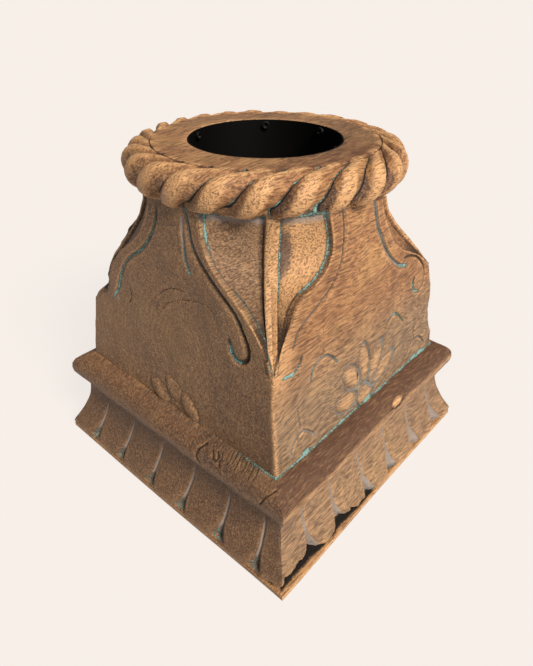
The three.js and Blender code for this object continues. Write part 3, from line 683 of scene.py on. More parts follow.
def body(s, surface, face, u_share, share):
    foot = s.lip + s.petals + s.ledge
    top = rope_foot(s, face, u_share)
    z = foot + share * (top - foot)
    half, corner, edge, rib, grown, side = leaf_shape(s, face, u_share, z)
    slant = np.hypot(half - corner, corner - edge)
    slot_start = leaf_slot(face, side, z) * slant
    way = leaf_columns(u_share, z, edge + slot_start, edge + slant, rib)
    k = unit((way - edge) / slant)
    out = half + k * (corner - half)
    u = np.minimum(way, edge) + k * (corner - edge)
    into, from_corner = way - edge - slot_start, edge + slant - way
    leaf = (into > 0) & (grown > 0)

    cut_lines(surface, face, side * u, z, CUTS)
    cut_petals(surface, face, side * u, z, RIGHT, RIGHT_PETALS, 2.3, 0.5)
    cut_petals(surface, face, side * u, z, RIGHT, [RIGHT_BUTTON], 2.3, 0.8)
    cut_petals(surface, face, side * u, z, FRONT, FRONT_PETALS, 0.8, 1.7)
    for which in (1, 2):
        cut_petals(surface, face, side * u, z, which, PLAIN_PETALS_WORN, 1.3, 1.6)
    # A deep pit among the petals of the right face, sunk and painted near-black as its shade.
    cut_deep = np.hypot((side * u + 11.5) / 3.2, (z - 125) / 8)
    surface.sink += 3.2 * unit(1 - cut_deep) * (face == RIGHT)
    surface.mark("black", 0.75 * (face == RIGHT) * unit(2 - 2 * cut_deep))
    surface.sink *= np.where(into > -0.6, 0, 1)
    panel_sink = surface.sink.copy()

    on_rib = smoothstep(from_corner, rib * 1.14, rib * 0.9)
    wall = smoothstep(into, 0, 0.8)
    hollow = 0.25 * LEAF_SINK * np.sin(math.pi * k)
    floor = (LEAF_SINK + (RIB_PROUD - LEAF_SINK) * k + hollow) * grown * wall
    shaded = (face == FRONT) & (side > 0)
    gutter_half = np.where(shaded, 3.4, 1.4)
    gutter = np.where(shaded, 2.2, 1.1) * unit(1 - np.abs(from_corner - rib - gutter_half * 0.6)
                                                  / gutter_half) * grown
    crown = 0.9 * (from_corner / rib) ** 2 * grown
    leaf_sink = np.where(leaf, floor * (1 - on_rib) + crown * on_rib + gutter, 0)
    edge_round = 0.5 * bump(into, 0, 1.4) ** 2 * (into <= 0) * grown
    arris = unit(1 - from_corner / 2.6) ** 2 * (1.1 - 0.9 * grown)
    turn = np.where(leaf, k, 0)
    norm = np.hypot(1, turn)
    sink = panel_sink + leaf_sink + edge_round
    out = out - sink / norm - arris * 0.7
    u = u - sink * turn / norm - arris * 0.7

    surface.come_near(np.where(grown > 0, np.abs(into), 99))
    surface.come_near(np.where(grown > 0, np.abs(from_corner - rib), 99))
    surface.come_near(from_corner * 1.2 + 1)
    surface.come_near(np.abs(z - foot) + 0.3)
    surface.come_near(np.abs(z - top) + 1.5)
    leaf_marks(s, surface, face, side, u, z, into, from_corner, rib, grown, top)
    return out, side * u, z


def leaf_marks(s, surface, face, side, u, z, into, from_corner, rib, grown, top):
    """Paint, dirt and stains of the leaves, the corners and the joints above and below, and painted shade on
    the leaves' walls and beside their ribs.
    """
    foot = s.lip + s.petals + s.ledge
    crease = bump(into, 1.5, 1.1, 1.4) * (grown > 0)
    right_leaf = (face == RIGHT) & (side < 0)
    front_leaf = (face == FRONT) & (side > 0)
    gutter_half = np.where(front_leaf, 3.4, 1.4)
    gutter = bump(from_corner - rib - gutter_half * 0.6, 0, gutter_half, 1.25) * (grown > 0)
    wall = bump(into, 0.35, 0.6) * (grown > 0.05)
    # Black on the leaves' walls and in the gutters beside the ribs is painted shade.
    surface.mark("black", wall * np.where(right_leaf, 0.6, 0.3))
    surface.mark("black", gutter * np.where(front_leaf, 0.15, 0.2))
    surface.mark("green", crease * np.where(right_leaf, 0.9 * smoothstep(z, 218, 226), np.where(
        front_leaf, 0.5 + 0.5 * smoothstep(z, 236, 256), 0.25)))
    surface.mark("green", gutter * np.where(right_leaf, 0.8 * smoothstep(z, 185, 225), np.where(
        front_leaf, 0.3 * smoothstep(z, 240, 265), 0.1)))
    surface.mark("grey", gutter * np.where(front_leaf, 0.4, 0.2))
    # The crease at the wall's foot holds dirt; in the gutter beside the rib this dirt is also painted shade.
    surface.mark("dirt", np.maximum(crease * 0.8, gutter * 0.75))
    pocket = (into > 0) * smoothstep(z, 222, 196) * (grown > 0)
    surface.mark("dirt", pocket * 0.95 * (from_corner > rib))
    bare = right_leaf * (into < 0) * smoothstep(z, 226, 218) * smoothstep(z, 120, 180)
    surface.mark("worn", 0.75 * bare * unit(1 - (from_corner - 4) / 22))
    surface.mark("rough", (into > 0) * (from_corner > rib) * smoothstep(z, 235, 200) * 0.8)
    blot = unit(1.3 - np.hypot((from_corner - rib - 2) / 12, (z - 245) / 22))
    spot = unit(1.4 - np.hypot((u - 72) / 5, (z - 234) / 5))
    surface.mark("stain", right_leaf * (into > 0) * (from_corner > rib) * np.maximum(blot, spot))
    surface.mark("worn", 0.8 * (from_corner < rib * 0.95) * grown)
    surface.mark("worn", 0.9 * unit(1 - from_corner / 3.5))
    surface.mark("worn", 0.55 * bump(into, -1.1, 1.5) * (grown > 0))
    surface.mark("worn", 0.9 * right_leaf * smoothstep(into, 1, 4) * (from_corner > rib))
    shade = np.where(front_leaf, 0.2 + 0.25 * smoothstep(z, 240, 215), 0.1)
    surface.mark("brown", shade * smoothstep(into, 1, 4) * (from_corner > rib))
    surface.mark("faded", np.where(face == RIGHT, 0.95 * smoothstep(z, 200, 125),
                                               0.35 + 0.35 * (into > 0)))
    surface.mark("brown", 0.45 * (face == FRONT) * smoothstep(side * u, 20, 95) * smoothstep(z, 200, 130))
    low = smoothstep(z, foot + 1.1, foot + 0.2)
    crumb = crumbling(u)
    signed = side * u
    surface.mark("green", low * np.where(
        face == RIGHT, 0.6 + 0.4 * crumb, np.where(face == FRONT, smoothstep(signed, 35, 115) * 0.8, 0.15)))
    for blob, wide, tall in ((-83, 6.5, 4.6), (-36, 5, 2), (2, 9, 6), (82, 7, 4), (95, 7, 3.6)):
        lump = unit(1.6 - np.hypot((signed - blob) / wide, (z - foot) / tall) * 1.2)
        surface.mark("green", (face == RIGHT) * lump)
    surface.mark("dirt", low * 0.5)
    high = smoothstep(z, top - 13, top - 0.5)
    in_leaf = (into > 0) & (from_corner > rib)
    surface.mark("grey", high * np.where(in_leaf, 0.85, 0.35))
    surface.mark("green", smoothstep(z, top - 3, top) * np.where(in_leaf, 0.8, 0.35))
    surface.mark("dirt", smoothstep(z, top - 2, top) * 0.6)
    broken = (face == FRONT) & (side < 0) | (face == 2) & (side > 0)
    step = bump(z, 168, 9) * unit(1 - from_corner / 16)
    surface.mark("dirt", broken * step)
    surface.mark("rough", broken * unit(step * 1.5))


def rope_section(s, angle, sink):
    """Radius and height on the rope's section."""
    rise = s.rope / 2
    r = s.rope_radius - s.rope_bulge + (s.rope_bulge - sink) * np.cos(angle)
    return r, s.height - rise + (rise - sink * rise / s.rope_bulge) * np.sin(angle)


def first_angle(s, face, u_share):
    """Angle on the rope's section at which the body meets it."""
    out, u, _ = body_line(s, face, u_share, np.full(len(u_share), s.height - s.rope))
    radius = np.hypot(out, u)
    middle = s.rope_radius - s.rope_bulge
    return -np.arccos(np.clip((radius - middle) / s.rope_bulge, -1, 1))


def rope_foot(s, face, u_share):
    return rope_section(s, first_angle(s, face, u_share), 0)[1]


def strand_wander(azimuth):
    """The strands are cut by eye: how far each groove strays from an even spacing, in degrees."""
    a = np.radians(azimuth)
    return 3.6 + 3.2 * np.sin(a) + 0.8 * np.cos(a) - 0.6 * np.sin(2 * a)


def degrees_from(azimuth, middle):
    return np.abs((azimuth - middle + 180) % 360 - 180)


def strands(s, surface, azimuth, angle, lean, relief):
    """Depth of the strands' carving at a place round the rope."""
    pitch = 360 / STRANDS
    straight = azimuth - lean * pitch
    strand = (straight - strand_wander(straight - strand_wander(straight))) / pitch
    phase = strand - np.floor(strand)
    number = np.floor(strand).astype(int) % STRANDS
    draw = np.random.default_rng(11)
    fullness, skew = draw.uniform(-0.09, 0.09, STRANDS), draw.uniform(-0.05, 0.05, STRANDS)
    bent = phase + skew[number] * np.sin(math.pi * phase)
    height = np.interp(bent, *zip(*STRAND)) * (1 + fullness[number] * np.sin(math.pi * phase))
    wide = pitch * math.pi / 180 * s.rope_radius
    gap = np.minimum(phase, 1 - phase) * wide
    surface.come_near(gap * 0.75)
    facet = smoothstep(phase, 0.64, 0.74) * relief * smoothstep(angle, 85, 45)
    lens = np.interp(angle, [-75, -30, 5, 35, 70], [0.14, 0.26, 0.25, 0.17, 0.08])
    wall = smoothstep(phase, lens, lens - 0.08) * smoothstep(angle, 80, 50)
    shady = smoothstep(degrees_from(azimuth, SHADY_STRANDS), 50, 25)
    # The strands' right facets are stained purple. The stain and dirt on their left walls are painted shade
    # along with stain, strongest round SHADY_STRANDS.
    surface.mark("stain", facet * (0.5 - 0.15 * shady))
    surface.mark("dirt", facet * (0.3 - 0.1 * shady))
    surface.mark("stain", wall * (0.2 + 0.45 * shady))
    surface.mark("dirt", wall * (0.15 + 0.25 * shady))
    groove = np.where(phase < 0.5, phase, phase - 1) * wide
    # Black at the groove bottoms is painted shade; the dirt over it is dirt along with painted shade.
    surface.mark("black", bump(groove, 0.6, 1.3, 1.3) * 0.85)
    surface.mark("dirt", bump(groove, 0, 2.6, 1.2) * 0.85)
    painted = smoothstep(degrees_from(azimuth, PAINTED_STRANDS), 42, 24)
    foot = bump(groove + 1.1 - 0.7 * shady, 0, 0.9, 1.4)
    surface.mark("green", foot * painted * np.maximum(
        0.85 * smoothstep(angle, 30, -20), 0.8 * smoothstep(angle, 62, 80)))
    surface.mark("grey", foot * 0.5)
    surface.mark("worn", smoothstep(phase, 0.2, 0.28) * smoothstep(phase, 0.7, 0.62))
    return s.strand_depth * relief * (1 - height)


def rope(s, surface, face, u_share, azimuth, share):
    start = first_angle(s, face, u_share)
    angle = start + share * (math.radians(ROPE_END) - start)
    degrees = np.degrees(angle)
    lean = np.interp(degrees, *zip(*LEAN))
    relief = np.interp(degrees, *zip(*RELIEF)) * smoothstep(np.degrees(angle - start), -3, 8)
    sink = strands(s, surface, azimuth, degrees, lean, relief)
    r, z = rope_section(s, angle, sink)
    joint = smoothstep(np.degrees(angle - start), 14, 0)
    surface.mark("dirt", joint * 0.9)
    surface.mark("green", joint * 0.5)
    surface.come_near(5.5)
    return r, z


def edge_and_top(s, surface, azimuth, region, share):
    crown = s.rope_radius - s.rope_bulge + s.rope_bulge * math.cos(math.radians(ROPE_END))
    line = s.flat_radius
    if region == "edge":
        r = crown + share * (line - 0.8 - crown)
        lean = LEAN[-1][1] + (EDGE_LEAN - LEAN[-1][1]) * share
        relief = RELIEF[-1][1] * (1 - share) ** 0.7
        sink = strands(s, surface, azimuth, np.full(len(r), float(ROPE_END)), lean, relief)
        crown_z = rope_section(s, math.radians(ROPE_END), 0)[1]
        groove = 1.3 * bump(r, line, 0.85)
        z = crown_z + (s.height - crown_z) * share - sink - groove
        surface.mark("dirt", 0.9 * bump(r, line, 1.3))
        surface.mark("grey", 0.3 * bump(r, line, 1.6))
        surface.come_near(np.abs(r - line))
        return r, z
    inner = s.bore_radius + 1
    if region == "flat":
        r = line - 0.8 + share * (inner - line + 0.8)
        surface.come_near(9.0)
    else:
        r = inner - share * (inner - s.bore_radius)
    notch = np.exp(-((np.degrees(np.angle(np.exp(1j * np.radians(azimuth - 45)))) / 6) ** 2))
    near_rim = unit(1 - (r - s.bore_radius) / 5)
    rounding = 0.9 * unit(1 - (r - s.bore_radius) / 1.2) ** 2
    z = s.height - rounding - 4.2 * notch * near_rim ** 1.5
    surface.mark("worn", 0.4 * unit(1 - (r - s.bore_radius) / 2.5))
    surface.mark("rough", notch * near_rim)
    surface.mark("brown", 0.4 * smoothstep(np.cos(np.radians(azimuth - 25)), 0.3, 0.9))
    surface.mark("faded", 0.15 + 0.3 * smoothstep(np.cos(np.radians(azimuth - 120)), -0.2, 0.5))
    surface.come_near((r - s.bore_radius) + 2 + 8 * (1 - notch))
    return r, z


def bend_sheet(s, x, y):
    """Places of the flat sheet as places on the block, with what lies on them."""
    face, u_share = plane_shares(x, y)
    azimuth = 135 + 90 * x
    count = len(x)
    points, near = np.zeros((count, 3)), np.zeros(count)
    marks = {name: np.zeros(count) for name in Surface(0).marks}
    for name, start, end in region_rows():
        here = np.flatnonzero((y > start - 1e-6) & (y < end + 1e-6))
        if not len(here):
            continue
        share = unit((y[here] - start) / (end - start))
        surface = Surface(len(here))
        f, t, a = face[here], u_share[here], azimuth[here]
        turn = np.radians(a)
        if name in ("lip", "slot"):
            out, u, z, _ = lip_and_slot(s, surface, f, t, name, share)
            place = on_face(f, out, u, z)
        elif name == "cove":
            lift = lip_and_slot(s, Surface(len(here)), f, t, "slot", share)[3]
            place = on_face(f, *cove(s, surface, f, t, share, lift))
        elif name == "ledge":
            place = on_face(f, *ledge(s, surface, f, t, share))
        elif name == "body":
            place = on_face(f, *body(s, surface, f, t, share))
        else:
            if name == "rope":
                r, z = rope(s, surface, f, t, a, share)
                low = body_place(s, f, t)
                blend = smoothstep(share, 0.16, 0)[:, None]
            elif name == "bore":
                r = np.full(len(here), s.bore_radius)
                rim = edge_and_top(s, Surface(len(here)), a, "rim", np.ones(len(here)))[1]
                z = rim + share * (s.bore_floor - rim)
            else:
                r, z = edge_and_top(s, surface, a, name, share)
            place = np.stack([r * np.cos(turn), r * np.sin(turn), z], 1)
            if name == "rope":
                place[:, :2] = place[:, :2] * (1 - blend) + low * blend
        points[here] = place
        near[here] = surface.near
        for kind, amount in surface.marks.items():
            marks[kind][here] = amount
    return points, near, marks


def body_line(s, face, u_share, z):
    """The body's outline above the leaves, before any carving: distance out, place across, side."""
    half, corner, edge, rib, _, side = leaf_shape(s, face, u_share, z)
    slant = np.hypot(half - corner, corner - edge)
    way = leaf_columns(u_share, z, edge, edge + slant, rib)
    k = unit((way - edge) / slant)
    return half + k * (corner - half), np.minimum(way, edge) + k * (corner - edge), side


def body_place(s, face, u_share):
    """Where the body ends under the rope, seen from above."""
    z = rope_foot(s, face, u_share)
    out, u, side = body_line(s, face, u_share, z)
    return on_face(face, out, side * u, z)[:, :2]


def hand_made(points, marks):
    """The unevenness of hand work, kept off the underside and the bore."""
    x, y, z = points.T
    grip = smoothstep(z, 0.5, 6) * smoothstep(np.hypot(x, y), 60, 70)
    swell = 0.55 * uneven(points, 62, 1) + 0.22 * uneven(points, 21, 2)
    tooled = 0.12 * uneven(points, 8, 3) + 0.75 * marks["rough"] * uneven(points, 6.5, 4)
    away = points * np.array([1, 1, 0])
    reach = np.hypot(x, y)
    away /= np.maximum(reach, 1)[:, None]
    plinth = np.exp(-(np.hypot(x - 135, y + 135) / 95) ** 2) * smoothstep(z, 93, 80)
    corner = np.exp(-(np.hypot(x - 100, y + 100) / 50) ** 2)
    corner *= smoothstep(z, 96, 150) * smoothstep(z, 270, 240)
    pull = np.outer(3.4 * plinth - 2.4 * corner, (0.744, 0.668, 0))
    flat_top = smoothstep(z, 298.5, 300)
    away = away * (1 - flat_top)[:, None] + np.array([0, 0, 0.5]) * flat_top[:, None]
    return points + away * ((swell + tooled) * grip)[:, None] + pull


# Modelling

# Thickness of the lining, the rounding of its rim, and the sizes of a screw, in millimetres
LINING_WALL, RIM_ROUND = 1.2, 0.35
SCREW_HEAD, SCREW_DOME, SCREW_SHANK, SCREW_LENGTH = 3.5, 2.1, 1.5, 12
# The sharpest bends that are shaded as smooth, in degrees
WOOD_SMOOTH, LINING_SMOOTH, SCREW_SMOOTH = 48, 40, 50
# Vertices closer than this are one, in metres
SEAM = 2e-6


def deselect_all():
    if bpy.context.object and bpy.context.object.mode != "OBJECT":
        bpy.ops.object.mode_set(mode="OBJECT")
    bpy.ops.object.select_all(action="DESELECT")


def select_faces(mesh, chosen):
    """Selects these faces alone, for the next step in edit mode."""
    mesh.vertices.foreach_set("select", np.zeros(len(mesh.vertices), bool))
    mesh.edges.foreach_set("select", np.zeros(len(mesh.edges), bool))
    mesh.polygons.foreach_set("select", chosen)


def coordinates(mesh):
    flat = np.empty(len(mesh.vertices) * 3, np.float32)
    mesh.vertices.foreach_get("co", flat)
    return flat.reshape(-1, 3).astype(float)


def face_centres(mesh):
    flat = np.empty(len(mesh.polygons) * 3, np.float32)
    mesh.polygons.foreach_get("center", flat)
    return flat.reshape(-1, 3).astype(float)


def face_outward():
    """Turns all faces of the mesh in edit mode outward, and leaves edit mode."""
    bpy.ops.mesh.select_all(action="SELECT")
    bpy.ops.mesh.normals_make_consistent(inside=False)
    bpy.ops.object.mode_set(mode="OBJECT")


def round_edges(obj, width, angle):
    """Bevels the sharp edges and smooths the faces between them."""
    edges = obj.modifiers.new("edges", "BEVEL")
    edges.width, edges.segments, edges.limit_method = width, 3, "ANGLE"
    bpy.ops.object.modifier_apply(modifier=edges.name)
    bpy.ops.object.shade_smooth_by_angle(angle=math.radians(angle))


# Faces are divided three times where they lie nearer to carving than this: on the two carved
# sides, on the rope and flat top elsewhere, and on the plainer sides
REACHES = ((5.4, 1.7, 0.16), (3, 0.9, 0), (1.7, 0.35, 0))


def refine(obj, s):
    """Divides the flat sheet's faces again and again where the carving is close."""
    rows = sum(ROWS.values())
    bpy.context.tool_settings.mesh_select_mode = (False, False, True)
    for carved, top, plain in zip(*REACHES):
        centres = face_centres(obj.data)
        _, near, _ = bend_sheet(s, centres[:, 0], centres[:, 1] * rows)
        seen = (centres[:, 0] > 0.97) & (centres[:, 0] < 3.03)
        round_top = centres[:, 1] > region_start("rope") / rows
        select_faces(obj.data, near < np.where(seen, carved, np.where(round_top, top, plain)))
        bpy.ops.object.mode_set(mode="EDIT")
        bpy.ops.mesh.subdivide(number_cuts=1, smoothness=0, ngon=False)
        bpy.ops.object.mode_set(mode="OBJECT")


def close_loop(obj, height):
    """Fills the open edge that lies at a height with one face."""
    mesh = obj.data
    bpy.context.tool_settings.mesh_select_mode = (False, True, False)
    bpy.ops.object.mode_set(mode="EDIT")
    bpy.ops.mesh.select_all(action="DESELECT")
    bpy.ops.mesh.select_non_manifold(use_wire=False, use_multi_face=False, use_non_contiguous=False,
                                     use_verts=False)
    bpy.ops.object.mode_set(mode="OBJECT")
    z = coordinates(mesh)[:, 2]
    ends = np.empty(len(mesh.edges) * 2, np.int32)
    mesh.edges.foreach_get("vertices", ends)
    level = (np.abs(z[ends.reshape(-1, 2)] - height) < 1e-5).all(1)
    chosen = np.empty(len(mesh.edges), bool)
    mesh.edges.foreach_get("select", chosen)
    mesh.vertices.foreach_set("select", np.zeros(len(mesh.vertices), bool))
    mesh.edges.foreach_set("select", chosen & level)
    bpy.ops.object.mode_set(mode="EDIT")
    bpy.ops.mesh.edge_face_add()
    bpy.ops.object.mode_set(mode="OBJECT")


def finish_piece(obj, name, nodes, material):
    """Names a piece, gives it its material, hangs it on the root body and hides the parts of the frame it
    stands for.
    """
    obj.name = name
    obj.data.name = name
    obj.data.materials.clear()
    obj.data.materials.append(material)
    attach(obj, "root")
    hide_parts(*nodes)


class CARVEDBASE_OT_timber(bpy.types.Operator):
    """Carve the timber block: foot, petals, ledge, body with its leaves, rope rim, flat top and bore"""
    bl_idname = "carved_base.timber"
    bl_label = "Carved Timber"

    def execute(self, context):
        s = in_mm(context.scene.timber_sizes)
        rows = sum(ROWS.values())
        deselect_all()
        bpy.ops.mesh.primitive_grid_add(x_subdivisions=4 * COLUMNS, y_subdivisions=rows, size=1,
                                        location=(2, 0.5, 0))
        obj = context.object
        obj.scale = (4, 1, 1)
        bpy.ops.object.transform_apply(location=True, rotation=True, scale=True)
        refine(obj, s)
        mesh = obj.data
        flat = coordinates(mesh)
        points, _, marks = bend_sheet(s, flat[:, 0], flat[:, 1] * rows)
        points = hand_made(points, marks)
        mesh.vertices.foreach_set("co", (points * MM).astype(np.float32).ravel())
        for name, amount in marks.items():
            mesh.attributes.new(name, "FLOAT", "POINT").data.foreach_set(
                "value", unit(amount).astype(np.float32))
        mesh.update()
        bpy.ops.object.mode_set(mode="EDIT")
        bpy.ops.mesh.select_all(action="SELECT")
        bpy.ops.mesh.remove_doubles(threshold=SEAM)
        bpy.ops.object.mode_set(mode="OBJECT")
        close_loop(obj, 0)
        close_loop(obj, s.bore_floor * MM)
        bpy.ops.object.mode_set(mode="EDIT")
        face_outward()
        bpy.ops.object.shade_smooth_by_angle(angle=math.radians(WOOD_SMOOTH))
        finish_piece(obj, "carved_timber", ["carved_base"],
                     weathered_wood(context.scene.wood_colours))
        return {"FINISHED"}


class CARVEDBASE_OT_lining(bpy.types.Operator):
    """Turn the thin black sheet-metal cup in the bore, with a rolled rim"""
    bl_idname = "carved_base.lining"
    bl_label = "Sheet Lining"

    def execute(self, context):
        wall = LINING_WALL * MM
        radius = LINING_HIGH.x
        depth = LINING_HIGH.z - LINING_LOW.z
        deselect_all()
        bpy.ops.mesh.primitive_cylinder_add(vertices=128, radius=radius, depth=depth,
                                            location=(0, 0, LINING_LOW.z + depth / 2))
        obj = context.object
        bpy.ops.object.transform_apply(location=True, rotation=True, scale=True)
        bpy.context.tool_settings.mesh_select_mode = (False, False, True)
        select_faces(obj.data, face_centres(obj.data)[:, 2] > LINING_HIGH.z - 1e-6)
        bpy.ops.object.mode_set(mode="EDIT")
        bpy.ops.mesh.inset(thickness=wall, depth=0)
        bpy.ops.mesh.extrude_region_move(TRANSFORM_OT_translate={"value": (0, 0, wall - depth)})
        face_outward()
        round_edges(obj, RIM_ROUND * MM, LINING_SMOOTH)
        finish_piece(obj, "sheet_lining", ["lining"], black_sheet())
        return {"FINISHED"}


class CARVEDBASE_OT_screws(bpy.types.Operator):
    """Model one round-head screw with a socket, and set a copy of it at each place round the rim"""
    bl_idname = "carved_base.screws"
    bl_label = "Lining Screws"

    def execute(self, context):
        material = blackened_steel()
        for name in SCREWS:
            low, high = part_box(name)
            middle = (low + high) / 2
            azimuth = math.atan2(middle.y, middle.x)
            sizes = (SCREW_HEAD, SCREW_DOME, SCREW_SHANK, SCREW_LENGTH)
            obj = self.screw(context, *(size * MM for size in sizes))
            reach = max(Vector((c.x, c.y)).length for c in cad_corners(name)) - SCREW_LENGTH * MM
            obj.rotation_euler = (0, 0, azimuth)
            obj.location = (reach * math.cos(azimuth), reach * math.sin(azimuth), middle.z)
            bpy.ops.object.transform_apply(location=True, rotation=True, scale=True)
            finish_piece(obj, name.replace("lining_", "round_head_"), [name], material)
        return {"FINISHED"}

    def screw(self, context, head, dome, shank, length):
        """A screw along +X with the seat of its head at the origin."""
        deselect_all()
        bpy.ops.mesh.primitive_cylinder_add(vertices=24, radius=head, depth=dome,
                                            location=(-dome / 2, 0, 0), rotation=(0, math.pi / 2, 0))
        obj = context.object
        bpy.ops.object.transform_apply(location=True, rotation=True, scale=True)
        bpy.context.tool_settings.mesh_select_mode = (False, False, True)
        select_faces(obj.data, face_centres(obj.data)[:, 0] < -dome + 1e-7)
        bpy.ops.object.mode_set(mode="EDIT")
        for inward in (0.25, 0.22):
            bpy.ops.mesh.inset(thickness=head * inward, depth=0)
        bpy.ops.mesh.extrude_region_move(TRANSFORM_OT_translate={"value": (dome * 0.6, 0, 0)})
        bpy.ops.object.mode_set(mode="OBJECT")
        select_faces(obj.data, face_centres(obj.data)[:, 0] > -1e-7)
        bpy.ops.object.mode_set(mode="EDIT")
        bpy.ops.mesh.inset(thickness=head - shank, depth=0)
        bpy.ops.mesh.extrude_region_move(TRANSFORM_OT_translate={"value": (length - shank, 0, 0)})
        bpy.ops.mesh.extrude_region_move(TRANSFORM_OT_translate={"value": (shank, 0, 0)})
        bpy.ops.transform.resize(value=(0.1, 0.1, 0.1))
        face_outward()
        round_edges(obj, head * 0.16, SCREW_SMOOTH)
        return obj


def cad_corners(name):
    return [v.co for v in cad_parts[name].data.vertices]


# Materials

def add(tree, kind, inputs=(), output=0, **settings):
    """Adds a node, with its settings, fills its sockets with values or links, and gives an output."""
    node = tree.nodes.new("ShaderNode" + kind)
    for name, value in settings.items():
        setattr(node, name, value)
    for socket, value in (inputs if isinstance(inputs, dict) else dict(enumerate(inputs))).items():
        if isinstance(value, bpy.types.NodeSocket):
            tree.links.new(value, node.inputs[socket])
        else:
            node.inputs[socket].default_value = value
    return node.outputs[output]


def new_material(name):
    material = bpy.data.materials.new(name)
    material.use_nodes = True
    tree = material.node_tree
    return material, tree, tree.nodes["Principled BSDF"]


def per_metre(width_mm):
    """Scale of a pattern whose features are this wide."""
    return 1000 / width_mm


